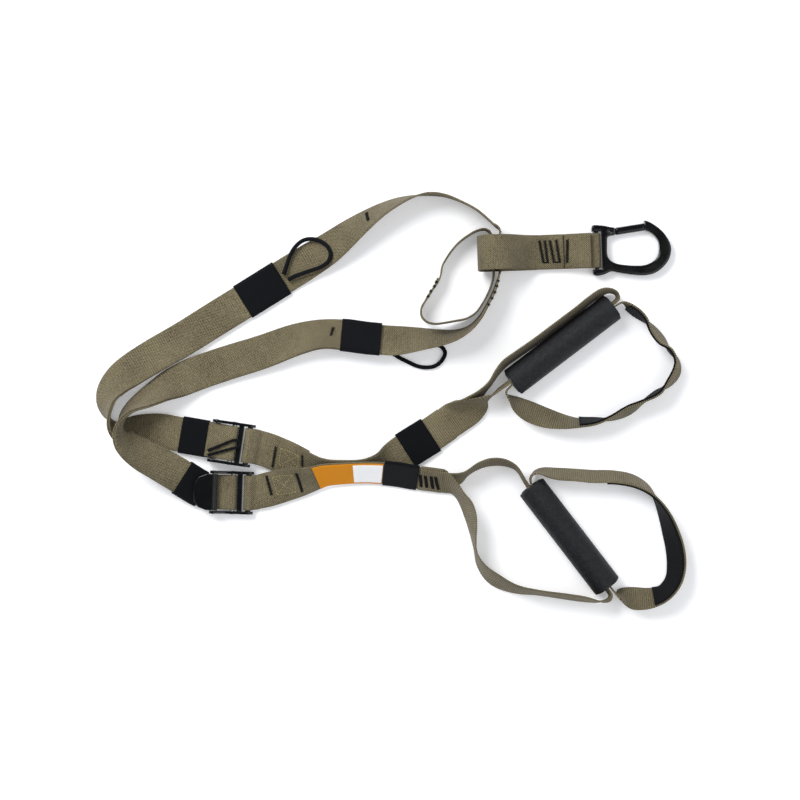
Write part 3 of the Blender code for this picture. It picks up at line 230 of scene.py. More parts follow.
RING_SHARES = (
    (424, 303.5, 90), (430, 293, 90), (436.5, 284.5, 90), (440.5, 276, 90), (442, 267, 90),
    (446, 259.5, 90), (451, 252, 90), (458, 244, 90), (467, 237, 90), (476, 232, 90, 0.04),
    (484, 230.5, 90, 0.10), (489.5, 234, 90, 0.16), (491.2, 243, 90, 0.18), (491.5, 254, 90, 0.18),
    (492, 264, 90, 0.18), (493, 273, 90, 0.14), (492.2, 281, 90, 0.04), (488.4, 292, 90),
    (482.5, 303.3, 90), (475.5, 313, 90), (466, 319, 90, 0.06), (455, 321.5, 90, 0.20),
    (444, 323.5, 90, 0.34), (435, 324.5, 90, 0.38), (427, 322.5, 90, 0.36), (422, 317, 90, 0.26),
    (421.3, 310, 90, 0.12), (424.3, 303, 90), (428.5, 296.5, 90), (433.7, 288, 90), (437.6, 279, 90),
)
STEM_A_SHARES = (
    (254.5, 446.3, 0, 0.19), (267, 449.8, 0, 0.09), (284, 456.8, 2), (299, 463.2, 14), (312, 467.4, 30),
    (326, 470.2, 46), (345, 470.6, 50), (364, 469.6, 50), (380, 465.8, 40), (393, 458.6, 18, 0.03),
    (405, 450.8, 3, 0.07), (418, 442.6, 0, 0.07), (431, 434.6, 0, 0.05), (440, 428.4, 0, 0.03),
    (447, 423.5, 0, 0.03),
)
STEM_B_SHARES = (
    (254.5, 492.6, 0, 0.03), (268, 489.3, 6, 0.045), (284, 484.5, 16, 0.03), (299, 480.4, 30, 0.03),
    (312, 477, 44, 0.05), (326, 474.2, 50, 0.07), (345, 472.6, 52, 0.07), (364, 471.8, 52, 0.07),
    (382, 472.4, 51, 0.06), (398, 474, 50, 0.05), (412, 476.5, 50, 0.05), (425, 478.2, 50, 0.04),
    (434, 479.4, 50, 0.01), (441, 480.4, 50, 0.004),
)
HANDLE_A_FAR_SHARES = (
    (447.4, 423.2, 0), (455, 417.6, 10), (464, 410.5, 34), (473, 402, 62), (482, 393, 78),
    (490.5, 383.5, 82), (497, 373.5, 80), (504, 365, 78), (515.5, 356.5, 78), (533.5, 344, 78),
    (553.5, 329, 78), (575.5, 312.5, 78), (590.5, 300.5, 78), (600.5, 294.3, 78, 0.02, 0.95),
    (609, 292.9, 84, 0.08, 0.78), (615.2, 295.4, 90, 0.17, 0.55), (616.2, 299.6, 90, 0.236, 0.42),
    (613.4, 303.1, 90, 0.236, 0.42),
)
HANDLE_A_NEAR_SHARES = (
    (447.4, 423.2, 0), (456, 417.5, 8), (466, 411.5, 22), (476, 404.5, 50), (484, 399, 76),
    (491, 395, 88, 0.06, 0.85), (497.3, 390.4, 90, 0.18, 0.6), (502.8, 386.8, 90, 0.236, 0.42),
    (506.8, 384.1, 90, 0.236, 0.42),
)
HANDLE_B_FAR_SHARES = (
    (441.4, 480.5, 50), (448, 482.5, 56), (454.5, 487, 68), (460, 493.5, 74), (466, 502, 70),
    (470, 512, 70), (472.5, 524, 76), (474, 537, 84), (476, 550, 88), (481, 563, 78), (494, 577, 66),
    (514, 586.5, 72), (539, 590.5, 78), (564, 594, 77), (584, 597, 78), (598, 599.5, 84, 0.06, 0.85),
    (606.8, 598, 90, 0.17, 0.58), (609.2, 593.4, 90, 0.236, 0.42), (606.6, 588.8, 90, 0.236, 0.42),
)
HANDLE_B_NEAR_SHARES = (
    (441.4, 480.5, 50), (449, 481, 58), (458, 478.5, 68), (467, 473.5, 80), (479, 466, 78),
    (491, 462.5, 76), (503, 463, 78), (512.5, 467, 82, 0.04, 0.9), (519.6, 474, 88, 0.14, 0.66),
    (523.8, 480.2, 90, 0.22, 0.48), (526.9, 484.4, 90, 0.236, 0.42),
)
FOOT_A_SHARES = (
    (615.3, 305.8, 90, 0.283, 0.5), (620.5, 303.2, 90, 0.24, 0.6), (627.5, 306.5, 82, 0.1, 0.9),
    (635.5, 312.5, 80), (643.5, 319, 88), (651, 328.5, 106), (660, 339.5, 110), (669.5, 350, 92),
    (676, 361, 102), (675.5, 372.5, 110), (668, 383.5, 104), (656.5, 393.5, 86), (643, 402, 94),
    (627.5, 411, 108), (610.5, 418.5, 98), (594, 421.8, 80), (578, 422.8, 72), (562, 421.5, 58),
    (546, 418, 44), (531, 412.5, 40), (517.5, 405.5, 54), (510, 399.5, 74, 0.04, 0.92),
    (506.2, 395.3, 88, 0.2, 0.65), (505.8, 391.2, 90, 0.283, 0.5), (509, 387.3, 90, 0.283, 0.5),
)
FOOT_B_SHARES = (
    (530, 482.6, 90, 0.283, 0.5), (529.6, 477.8, 90, 0.26, 0.55), (533.4, 473, 92, 0.12, 0.85),
    (543, 471.8, 106), (556, 473.4, 113), (574, 474.5, 114), (592, 476, 115), (612, 476.2, 114),
    (631, 479.5, 112), (645.5, 487, 104), (655.5, 498, 90), (663.5, 513, 74), (669.5, 530, 62),
    (674, 547, 56), (675.5, 564, 56), (672.5, 580, 62), (662.5, 592.5, 62), (647, 597.5, 46),
    (632, 597.5, 40), (621.5, 595.6, 58, 0.05, 0.92), (614.4, 592.2, 86, 0.22, 0.62),
    (609.5, 586.4, 90, 0.283, 0.5),
)
# Anchor strap: x px, and height as a share of the webbing's width
ANCHOR_TOP_SHARES = (
    (601, 0.50), (590, 0.42), (576, 0.30), (563, 0.235), (550, 0.21), (538, 0.21), (528, 0.36),
    (518, 0.70), (508, 1.04), (499, 1.20), (489, 1.20), (481, 1.05), (478.5, 0.80),
)
ANCHOR_LOW_SHARES = (
    (477.5, 0.55), (479, 0.25), (484, 0.06), (495, 0.03), (512, 0.03), (528, 0.05), (538, 0.13),
    (550, 0.145), (566, 0.13), (580, 0.09), (590, 0.06),
)
# Cords: x px, y px, and height as a multiple of the cord's thickness
CORD_A_ROUTE = (
    (284, 275, 1.9), (287, 266, 1.9), (290.5, 256, 1.9), (296, 247, 1.9), (303.5, 241, 1.9),
    (312, 239.5, 1.9), (321, 242, 2.2), (328, 247.5, 2.8), (331, 255, 3.35), (329, 262, 3.65),
    (322, 267.5, 3.4), (312, 271, 2.95), (303, 274, 2.5), (295, 277, 2.1), (288.5, 280.3, 1.95),
)
PULL_CORD_ROUTE = (
    (209, 450, 5.3), (215, 447.8, 5.5), (222, 445, 5.9), (229, 442, 6.4), (235, 440, 6.6),
    (240, 440.5, 6.6), (241.5, 443.8, 6.6), (238.5, 446.8, 6.6), (233, 448.3, 6.5), (226, 450, 6.2),
    (218, 452.3, 5.6), (209, 454.8, 5.3),
)
CORD_B_ROUTE = (
    (383.5, 331, 0.55), (383.8, 338, 0.55), (386, 345.8, 0.56), (391.5, 352.2, 0.56), (399, 357.5, 0.55),
    (408, 362, 0.55), (417, 366, 0.55), (427, 367.5, 0.55), (436, 365.5, 0.55), (442.5, 359.5, 0.55),
    (445, 352.5, 0.55), (441, 346.5, 0.55), (432, 344, 0.55), (420, 344, 0.55), (408, 344.5, 0.55),
    (397, 342.5, 0.56), (390, 337.5, 0.56), (387.5, 331, 0.55),
)

LEADS = {"a": LEG_A_LEAD_SHARES, "b": LEG_B_LEAD_SHARES}
LEGS = {"a": LEG_A_SHARES, "b": LEG_B_SHARES}
STEMS = {"a": STEM_A_SHARES, "b": STEM_B_SHARES}
STRANDS = {
    "a": (HANDLE_A_NEAR_SHARES, HANDLE_A_FAR_SHARES), "b": (HANDLE_B_NEAR_SHARES, HANDLE_B_FAR_SHARES),
}
FOOT_LOOPS = {"a": FOOT_A_SHARES, "b": FOOT_B_SHARES}


def middle(node):
    """The middle of a frame node's box."""
    low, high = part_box(node)
    return (Vector(low) + Vector(high)) / 2


def grip_radius():
    low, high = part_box("grip_a")
    return (high[2] - low[2]) / 2


def lay_shift():
    """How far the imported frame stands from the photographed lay's own origin."""
    (ax, ay), (bx, by) = GRIP_ENDS_PX["a"]
    x = ((ax + bx) / 2 - LAY_CENTRE_PX[0]) * PIXEL
    y = (LAY_CENTRE_PX[1] - (ay + by) / 2) * PIXEL
    return middle("grip_a") - Vector((x, y, grip_radius()))


SHIFT = lay_shift()


def sizes():
    return bpy.context.scene.trainer_sizes


def web_size():
    return sizes().web_width, sizes().web_thick


def colours():
    return bpy.context.scene.trainer_colours


# Laying webbing along stations


def floor_point(px, py, height=0.0):
    """A place of the photograph, on the floor or above it."""
    x = (px - LAY_CENTRE_PX[0]) * PIXEL
    y = (LAY_CENTRE_PX[1] - py) * PIXEL
    return Vector((x, y, height)) + SHIFT


def mix(p, q, share):
    return p * (1 - share) + q * share


def curve_point(points, knots, t):
    """Barry and Goldman's pyramid for one point of the centripetal curve."""
    level = list(points)
    for reach in (1, 2):
        level = [
            mix(p, q, (t - knots[i]) / (knots[i + reach] - knots[i]))
            for i, (p, q) in enumerate(zip(level, level[1:]))
        ]
    return mix(level[0], level[1], (t - knots[1]) / (knots[2] - knots[1]))


def smooth(stations, steps):
    """Points of a centripetal curve through the stations, with every station kept."""
    rows = [Vector(row) for row in stations]
    rows = [2 * rows[0] - rows[1]] + rows + [2 * rows[-1] - rows[-2]]
    out = []
    for a, b, c, d in zip(rows, rows[1:], rows[2:], rows[3:]):
        knots = [0.0]
        for p, q in ((a, b), (b, c), (c, d)):
            knots.append(knots[-1] + max((q - p).length, PIXEL) ** 0.5)
        for step in range(steps):
            t = knots[1] + (knots[2] - knots[1]) * step / steps
            out.append(curve_point((a, b, c, d), knots, t))
    out.append(rows[-2])
    return out


def heading(centres, index):
    before = centres[max(index - 1, 0)]
    after = centres[min(index + 1, len(centres) - 1)]
    return (after - before).normalized()


def laid_rows(stations, width, stack):
    """Rows of a laid strap: centre, direction across and width share."""
    places = []
    for station in stations:
        px, py, tilt, lift, share = (*station, *FLAT_AND_WIDE[len(station) - 3:])
        place = floor_point(px, py)
        places.append(Vector((place.x, place.y, math.radians(tilt) * width, lift * width, share * width)))
    laid = []
    for x, y, turn, lift, wide in smooth(places, FRAME_STEPS):
        tilt = turn / width
        rise = wide / 2 * abs(math.sin(tilt)) + stack / 2 * abs(math.cos(tilt)) + lift
        laid.append((Vector((x, y, rise + SHIFT.z)), tilt, wide / width))
    centres = [row[0] for row in laid]
    rows = []
    for i, (centre, tilt, share) in enumerate(laid):
        ahead = heading(centres, i)
        level = Vector((0, 0, 1)).cross(ahead).normalized()
        upright = ahead.cross(level).normalized()
        rows.append((centre, level * math.cos(tilt) + upright * math.sin(tilt), share))
    return rows


def shifted(rows, offsets):
    """The rows moved off their middle surface, by one distance or one for each row."""
    if not hasattr(offsets, "__len__"):
        offsets = [offsets] * len(rows)
    centres = [row[0] for row in rows]
    out = []
    for i, (centre, side, share) in enumerate(rows):
        normal = heading(centres, i).cross(side).normalized()
        out.append((centre + normal * offsets[i], side, share))
    return out


def finer(rows):
    """More rows on a smooth curve through the given ones."""
    packed = [Vector((*centre, *side)) for centre, side, _ in rows]
    shares = [share for _, _, share in rows]
    out = []
    for i, place in enumerate(smooth(packed, FINER)):
        first = min(i // FINER, len(shares) - 2)
        part = i / FINER - first
        share = shares[first] * (1 - part) + shares[first + 1] * part
        out.append((Vector(place[:3]), Vector(place[3:]).normalized(), share))
    return out


def stretch(rows, name):
    """The rows under one sewn piece, with its two ends between rows."""
    start, end = ROWS[name]
    return [between(rows, start)] + rows[math.floor(start) + 1:math.ceil(end)] + [between(rows, end)]


def between(rows, place):
    """A row at a fractional place along the rows."""
    first = min(math.floor(place), len(rows) - 2)
    part = place - first
    (centre, side, share), (after, turned_side, after_share) = rows[first], rows[first + 1]
    return mix(centre, after, part), mix(side, turned_side, part).normalized(), mix(share, after_share, part)


def spread(count, near, far, reach):
    """Distances that stay near and open out to far over the last rows."""
    out = []
    for i in range(count):
        share = max(0.0, (i - (count - 1 - reach)) / reach)
        out.append(near + (far - near) * share * share * (3 - 2 * share))
    return out


def wrapped(centre, side, start, radius, turn, count):
    """Rows round a bar: start is the first direction out from it, turn is in degrees."""
    out = []
    for i in range(count + 1):
        spin = Matrix.Rotation(math.radians(turn) * i / count, 3, side)
        out.append((centre + spin @ start * radius, side, 1.0))
    return out


def buckle_place(tag):
    """Own frame of a buckle: +X along the strap to the stem, +Z to the lever's side."""
    place_px, turn, height, faces_down = BUCKLES[tag]
    matrix = Matrix.Translation(floor_point(*place_px, height)) @ Matrix.Rotation(math.radians(turn), 4, "Z")
    return matrix @ Matrix.Rotation(math.pi, 4, "X") if faces_down else matrix


def bearing(matrix, axis):
    """Where one of a buckle's own directions points."""
    return (matrix.to_3x3() @ Vector(axis)).normalized()


def lead_rows(tag):
    """Rows of the upper webbing of a leg next to the carabiner."""
    width, thick = web_size()
    return shifted(laid_rows(LEADS[tag], width, 2 * thick + CLEAR), -(thick + CLEAR) / 2)


def doubled_leg(tag):
    """The middle rows of a leg that comes back on itself, and the rows of its webbing."""
    width, thick = web_size()
    matrix = buckle_place(tag)
    reach = ROLLER_RADIUS + CLEAR + thick / 2
    rows = laid_rows(LEGS[tag], width, 2 * thick + CLEAR)
    roller = matrix @ Vector((-ROLLER_OFFSET, 0, 0))
    side = rows[-1][1]
    bar = bearing(matrix, (0, 1, 0))
    bar = bar if bar.dot(side) > 0 else -bar
    ahead = bearing(matrix, (1, 0, 0))
    approach = [rows[-1][0], roller - ahead * (2 * reach), roller]
    bend = smooth(approach, APPROACH_STEPS)[1:]
    for i, centre in enumerate(bend):
        rows.append((centre, mix(side, bar, (i + 1) / len(bend)).normalized(), 1.0))
    offsets = spread(len(rows), (thick + CLEAR) / 2, reach, OPENING_ROWS)
    out = shifted(rows, [-offset for offset in offsets])
    back = shifted(rows, offsets)
    normal = heading([row[0] for row in rows], len(rows) - 1).cross(bar).normalized()
    quarter = Matrix.Rotation(math.radians(90), 3, bar) @ -normal
    sign = 1 if quarter.dot(ahead) > 0 else -1
    turn = wrapped(roller, bar, -normal, reach, sign * 180, TURN_STEPS)
    return rows, out[COVERED_ROWS:-1] + turn + list(reversed(back[:-1]))


def stem_rows(tag):
    """The upper rows of a handle's stem, and the rows of its webbing from its folded end."""
    width, thick = web_size()
    matrix = buckle_place(tag)
    reach = STEM_BAR_RADIUS + CLEAR + thick / 2
    rows = laid_rows(STEMS[tag], width, thick)
    bar = matrix @ Vector((STEM_BAR_OFFSET, 0, 0))
    ahead = bearing(matrix, (1, 0, 0))
    side = bearing(matrix, (0, 1, 0))
    side = side if side.dot(rows[0][1]) > 0 else -side
    for i in range(STEM_EASE_ROWS):
        centre, own, share = rows[i]
        rows[i] = (centre, mix(side, own, i / STEM_EASE_ROWS).normalized(), share)
    lean = math.radians(STEM_LEAN)
    offsets = []
    for i, (centre, _, _) in enumerate(rows):
        past = (centre - bar).dot(ahead) - reach * math.sin(lean)
        peel = reach * (1 + math.cos(lean)) - past * math.tan(lean)
        lap = (thick + CLEAR) * max(0.0, min(1.0, (STEM_FOLD_ROWS + FOLD_EASE_ROWS - i) / FOLD_EASE_ROWS))
        offsets.append(max(lap, peel))
    top = shifted(rows, offsets)
    start = Matrix.Rotation(lean, 3, side) @ Vector((0, 0, 1))
    if start.dot(ahead) < 0:
        start = Matrix.Rotation(-lean, 3, side) @ Vector((0, 0, 1))
    turn = wrapped(bar, side, start, reach, -180 - STEM_LEAN, STEM_TURN_STEPS)
    return top, list(reversed(top)) + turn + rows[:STEM_FOLD_ROWS]


def stem_end(rows):
    """Where a stem ends: its middle, the direction across and the way on."""
    centre, side, _ = rows[-1]
    ahead = (centre - rows[-2][0]).normalized()
    return centre, side, (ahead - side * ahead.dot(side)).normalized()


def through_grip(tag, offset, share):
    """Straight rows through a grip's bore, beside its axis, with the webbing gathered."""
    near, far = (floor_point(*end, grip_radius()) for end in GRIP_ENDS_PX[tag])
    up = Vector((0, 0, 1))
    aside = (far - near).normalized().cross(up) * offset
    count = IN_GRIP_STEPS
    rows = [(mix(near, far, i / count) + aside, up, share) for i in range(count + 1)]
    for end in (0, count):
        rows[end] = (rows[end][0], up, share * GRIP_MOUTH_SHARE)
    return rows


def handle_rows(tag, sign, stem):
    """Both strands of a handle, one strap through the grip, each sewn over the stem's end."""
    near, far = STRANDS[tag]
    width, thick = sizes().handle_width, sizes().narrow_thick
    stack = 2 * thick + CLEAR
    layer = sign * (thick + CLEAR) / 2
    lap = sign * ((thick + sizes().web_thick) / 2 + CLEAR / 2)
    start = shifted(laid_rows(near, width, stack), layer)[1:]
    end = shifted(laid_rows(far, width, stack), -layer)[1:]
    _, side, _ = stem_end(stem)
    first = ROWS["tag_" + tag][1] + TAG_GAP_ROWS
    sewn = [between(stem, first)] + stem[math.ceil(first):]
    for strand, off in ((start, lap), (end, -lap)):
        for i in range(1, HANDLE_EASE_ROWS):
            place, own, share = strand[i - 1]
            strand[i - 1] = (place, mix(side, own, i / HANDLE_EASE_ROWS).normalized(), share)
        strand[:0] = [(centre, own, 1.0) for centre, own, _ in shifted(sewn, off)]
    inside = through_grip(tag, -sign * IN_GRIP_OFFSET, IN_GRIP_WIDTH / width)
    return start + inside + list(reversed(end))


def foot_rows(tag, sign):
    """The free stretch of a loop for a foot, and all its rows with those in the grip."""
    width, thick = sizes().foot_width, sizes().narrow_thick
    loop = laid_rows(FOOT_LOOPS[tag], width, thick)
    inside = through_grip(tag, sign * IN_GRIP_OFFSET, IN_GRIP_WIDTH / width)
    half = len(inside) // 2
    # loop a leaves the grip at its far end, loop b at its near end
    if tag == "b":
        inside.reverse()
    return loop, inside[half + 1:] + loop + inside[:half]


def anchor_rows():
    """The anchor strap, from its top past the tall eye and the bar to its seam."""
    width, thick = web_size()
    axis = next(j for j in frame["joints"] if j["name"] == "carabiner_swing")["axis"]
    side = -Vector(axis).normalized()
    seam_middle = floor_point(*SEAM_PX)
    bar = middle("anchor_bar")
    ahead = side.cross(Vector((0, 0, 1)))

    def row(px, share):
        return seam_middle + ahead * ((px - SEAM_PX[0]) * PIXEL) + Vector((0, 0, share * width))

    top = [row(px, share) for px, share in ANCHOR_TOP_SHARES if px <= SEAM_PX[0]]
    low = [row(px, share) for px, share in ANCHOR_LOW_SHARES]
    seam = [row(px, share) for px, share in ANCHOR_TOP_SHARES[1:] if px > SEAM_PX[0]]
    reach = ANCHOR_BAR_RADIUS + CLEAR + thick / 2
    turn = [place for place, _, _ in wrapped(bar, side, Vector((0, 0, -1)), reach, -180, TURN_STEPS)]
    path = top + low + turn + list(reversed(seam)) + [row(px, share) for px, share in SEAM_SHARES]
    return [(centre, side, 1.0) for centre in smooth(path, 2)]


# Making pieces of cloth


def measured(rows):
    """The distance of each row along the strap."""
    out, travelled = [], 0.0
    for i, row in enumerate(rows):
        travelled += (row[0] - rows[i - 1][0]).length if i else 0.0
        out.append(travelled)
    return out


def section(width, thick, columns):
    """Closed outline of a strap's cross-section with soft edges, from its top left corner."""
    edge = thick * EDGE_SHARE
    half, up = width / 2, thick / 2
    top = [(-half + edge + (width - 2 * edge) * i / columns, up) for i in range(columns + 1)]
    shoulder = half - edge * SHOULDER_SHARE
    right = [(shoulder, up * SHOULDER_HEIGHT), (half, 0.0), (shoulder, -up * SHOULDER_HEIGHT)]
    bottom = [(x, -y) for x, y in reversed(top)]
    left = [(-x, y) for x, y in reversed(right)]
    return top + right + bottom + left


def linked(name, data):
    """A new object of the scene."""
    obj = bpy.data.objects.new(name, data)
    bpy.context.scene.collection.objects.link(obj)
    return obj


def plain_mesh(holder, name):
    """What a curve or a modifier makes, as one smooth mesh; the holder goes."""
    bpy.context.view_layer.update()
    graph = bpy.context.evaluated_depsgraph_get()
    mesh = bpy.data.meshes.new_from_object(holder.evaluated_get(graph))
    bpy.data.objects.remove(holder)
    mesh.name = name
    for face in mesh.polygons:
        face.use_smooth = True
    return mesh


def bridge(bm, one, two):
    """Faces between two closed rings of vertices."""
    for k in range(len(one)):
        j = (k + 1) % len(one)
        bm.faces.new((one[k], one[j], two[j], two[k]))


def loft(bm, marks, rows, outline, width, curl=0.0):
    """An outline carried along the rows; marks keeps where each vertex lies on the tape."""
    centres = [row[0] for row in rows]
    rings = []
    for i, ((centre, side, share), travelled) in enumerate(zip(rows, measured(rows))):
        normal = heading(centres, i).cross(side).normalized()
        ring = []
        for x, y in outline:
            bulge = curl * (1 - share) * math.cos(math.pi * x / width)
            vert = bm.verts.new(centre + side * (x * share) + normal * (y + bulge))
            marks[vert] = (travelled, x)
            ring.append(vert)
        rings.append(ring)
    for one, two in zip(rings, rings[1:]):
        bridge(bm, one, two)
    return rings


def cloth_object(bm, layer, marks, name, mat):
    """The lofted faces as a smooth object, with lengths in metres as its own map."""
    for face in bm.faces:
        face.smooth = True
        for loop in face.loops:
            loop[layer].uv = marks[loop.vert]
    bmesh.ops.recalc_face_normals(bm, faces=bm.faces)
    mesh = bpy.data.meshes.new(name)
    bm.to_mesh(mesh)
    bm.free()
    mesh.materials.append(mat)
    return linked(name, mesh)


def ribbon(name, rows, width, thick, mat, columns=LABEL_COLUMNS, curl=0.0):
    """Webbing lofted along the rows and closed at its ends."""
    bm = bmesh.new()
    layer = bm.loops.layers.uv.new("weave")
    marks = {}
    rings = loft(bm, marks, rows, section(width, thick, columns), width, curl)
    bm.faces.new(rings[0])
    bm.faces.new(list(reversed(rings[-1])))
    return cloth_object(bm, layer, marks, name, mat)


def cut_of(obj, rows):
    """Measures the flat length along the rows but keeps nothing of it; the piece comes back unchanged."""
    measured(rows)[-1]
    return obj


def lay_tape(name, node, rows, path, width, thick, mat, body="trainer"):
    """One strap lofted on its fine rows; its path is measured but the strap is not cut to it."""
    tape = ribbon(name, rows, width, thick, mat, sizes().columns)
    return ride(cut_of(tape, path), body, node)


def sleeve(name, rows, width, stack, wall, mat):
    """A flat tube of fabric, open at both ends: an outer loft joined to an inner one."""
    inner_width, inner_stack = width + 2 * CLEAR, stack + 2 * CLEAR
    bm = bmesh.new()
    layer = bm.loops.layers.uv.new("weave")
    marks = {}
    outline = section(inner_width + 2 * wall, inner_stack + 2 * wall, LABEL_COLUMNS)
    outer = loft(bm, marks, rows, outline, width)
    inner = loft(bm, marks, rows, section(inner_width, inner_stack, LABEL_COLUMNS), width)
    for end in (0, -1):
        bridge(bm, outer[end], inner[end])
    obj = cloth_object(bm, layer, marks, name, mat)
    soft = obj.modifiers.new("soft_edges", "BEVEL")
    soft.width = wall * RIM_SHARE
    soft.segments = 2
    soft.limit_method = "ANGLE"
    return obj


def cord(name, route, thick, mat):
    """An elastic cord: a round tube on a smooth route that leaves the object and goes back into it."""
    points = smooth([floor_point(px, py, rise * thick) for px, py, rise in route], CORD_STEPS)
    curve = bpy.data.curves.new(name, "CURVE")
    curve.dimensions = "3D"
    curve.bevel_depth = thick / 2
    curve.bevel_resolution = 4
    curve.use_fill_caps = True
    spline = curve.splines.new("POLY")
    spline.points.add(len(points) - 1)
    for point, place in zip(spline.points, points):
        point.co = (*place, 1)
    mesh = plain_mesh(linked(name + "_route", curve), name)
    mesh.materials.clear()
    mesh.materials.append(mat)
    obj = linked(name, mesh)
    return obj


def ride(obj, body, node):
    """The piece moves with a body and stands for a frame node, which is hidden."""
    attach(obj, body)
    if node:
        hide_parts(node)
    return obj


# Stitching: threads repeated on marked points


def spot_on(rows, px, py):
    """Where a place of the photograph lies on a strap: distances along it and across it."""
    aim = floor_point(px, py)
    nearest = min(range(len(rows)), key=lambda i: (rows[i][0].xy - aim.xy).length)
    centre, side, share = rows[nearest]
    flat = Vector((side.x, side.y))
    aside = (aim.xy - centre.xy).dot(flat) / max(flat.length_squared, FLAT_ENOUGH)
    on_line = centre.xy + flat * aside
    ahead = (rows[min(nearest + 1, len(rows) - 1)][0] - rows[max(nearest - 1, 0)][0]).xy.normalized()
    return measured(rows)[nearest] + (aim.xy - on_line).dot(ahead), aside / share


def locate(rows, along, aside, off):
    """Place on a strap with its directions along, across and out of the face."""
    distances = measured(rows)
    along = max(0.0, min(along, distances[-1] - CLEAR))
    index = max(i for i, d in enumerate(distances) if d <= along)
    index = min(index, len(rows) - 2)
    span = max(distances[index + 1] - distances[index], CLEAR / 10)
    part = (along - distances[index]) / span
    (c0, s0, w0), (c1, s1, w1) = rows[index], rows[index + 1]
    centre, side = mix(c0, c1, part), mix(s0, s1, part).normalized()
    ahead = (c1 - c0).normalized()
    normal = ahead.cross(side).normalized()
    return centre + side * (aside * mix(w0, w1, part)) + normal * off, ahead, side, normal


def add_node(tree, kind, links=None, **settings):
    """One node of a tree with its settings and the values or links of its inputs."""
    node = tree.nodes.new(kind)
    for key, value in settings.items():
        setattr(node, key, value)
    for key, value in (links or {}).items():
        socket = node.inputs[key]
        if isinstance(value, bpy.types.NodeSocket):
            tree.links.new(value, socket)
        else:
            socket.default_value = value
    return node


def thread_group():
    """Repeats a short rounded thread on every point, turned along the point's own direction."""
    name = "thread_repeat"
    if name in bpy.data.node_groups:
        return bpy.data.node_groups[name]
    tree = bpy.data.node_groups.new(name, "GeometryNodeTree")
    face = tree.interface
    for label, kind in (
        ("Geometry", "Geometry"), ("Length", "Float"), ("Thickness", "Float"), ("Material", "Material"),
    ):
        face.new_socket(label, in_out="INPUT", socket_type="NodeSocket" + kind)
    face.new_socket("Geometry", in_out="OUTPUT", socket_type="NodeSocketGeometry")
    given = add_node(tree, "NodeGroupInput")
    ball = add_node(tree, "GeometryNodeMeshUVSphere", {"Segments": 8, "Rings": 6, "Radius": 0.5})
    thick = given.outputs["Thickness"]
    scale = {"X": given.outputs["Length"], "Y": thick, "Z": thick}
    size = add_node(tree, "ShaderNodeCombineXYZ", scale)
    lay = add_node(tree, "GeometryNodeInputNamedAttribute", {"Name": "lay"}, data_type="FLOAT_VECTOR")
    way = {"Vector": lay.outputs["Attribute"]}
    turn = add_node(tree, "FunctionNodeAlignRotationToVector", way, axis="X")
    spots = add_node(tree, "GeometryNodeInstanceOnPoints", {
        "Points": given.outputs["Geometry"], "Instance": ball.outputs["Mesh"],
        "Rotation": turn.outputs["Rotation"], "Scale": size.outputs["Vector"],
    })
    real = add_node(tree, "GeometryNodeRealizeInstances", {"Geometry": spots.outputs["Instances"]})
    coloured = {"Geometry": real.outputs["Geometry"], "Material": given.outputs["Material"]}
    sewn = add_node(tree, "GeometryNodeSetMaterial", coloured)
    add_node(tree, "NodeGroupOutput", {"Geometry": sewn.outputs["Geometry"]})
    return tree


def threads(name, marks, length, thick, mat):
    """Stitches on (place, direction) marks, made one plain mesh."""
    mesh = bpy.data.meshes.new(name + "_marks")
    mesh.from_pydata([place for place, _ in marks], [], [])
    lay = mesh.attributes.new("lay", "FLOAT_VECTOR", "POINT")
    lay.data.foreach_set("vector", [value for _, way in marks for value in way])
    holder = linked(name + "_marks", mesh)
    modifier = holder.modifiers.new("threads", "NODES")
    modifier.node_group = thread_group()
    values = {"Length": length, "Thickness": thick, "Material": mat}
    for item in modifier.node_group.interface.items_tree:
        if item.in_out == "INPUT" and item.name in values:
            modifier[item.identifier] = values[item.name]
    return linked(name, plain_mesh(holder, name))


def tack_marks(rows, start_px, end_px, off):
    """Marks of one bar tack between two places of the photograph: slanted threads side by side."""
    start, end = Vector(spot_on(rows, *start_px)), Vector(spot_on(rows, *end_px))
    count = max(2, int((end - start).length / (sizes().thread * TACK_GAP_SHARE)))
    marks = []
    for i in range(count + 1):
        along, aside = mix(start, end, i / count)
        place, ahead, side, _ = locate(rows, along, aside, off)
        lean = TACK_LEAN if i % 2 else -TACK_LEAN
        marks.append((place, (ahead + side * lean).normalized()))
    return marks


def edge_marks(rows, spots_px, width):
    """Marks of tacks that show as dots on the upper edge of a strap lying on its side."""
    marks = []
    thread = sizes().thread
    for px, py in spots_px:
        along, _ = spot_on(rows, px, py)
        for step in (-1, 0, 1):
            for sign in (1, -1):
                place, _, side, normal = locate(rows, along + step * thread, sign * width / 2, 0.0)
                if sign * side.z > 0:
                    marks.append((place + Vector((0, 0, thread / 2)), normal))
    return marks


def seam_marks(rows, corners, off):
    """Marks of a stitched line through corners given as (along, across)."""
    pitch = sizes().stitch_pitch
    marks = []
    for (u0, v0), (u1, v1) in zip(corners, corners[1:]):
        length = math.hypot(u1 - u0, v1 - v0)
        count = max(1, int(length / pitch))
        for i in range(count):
            part = (i + 0.5) / count
            u, v = u0 + (u1 - u0) * part, v0 + (v1 - v0) * part
            place, ahead, side, _ = locate(rows, u, v, off)
            marks.append((place, (ahead * (u1 - u0) + side * (v1 - v0)).normalized()))
    return marks


# Finishes


def linear(hex_colour):
    """An sRGB colour written as hexadecimal, turned to linear values."""
    out = []
    for i in (0, 2, 4):
        value = int(hex_colour[i:i + 2], 16) / 255
        out.append(value / 12.92 if value <= 0.04045 else ((value + 0.055) / 1.055) ** 2.4)
    return (*out, 1.0)


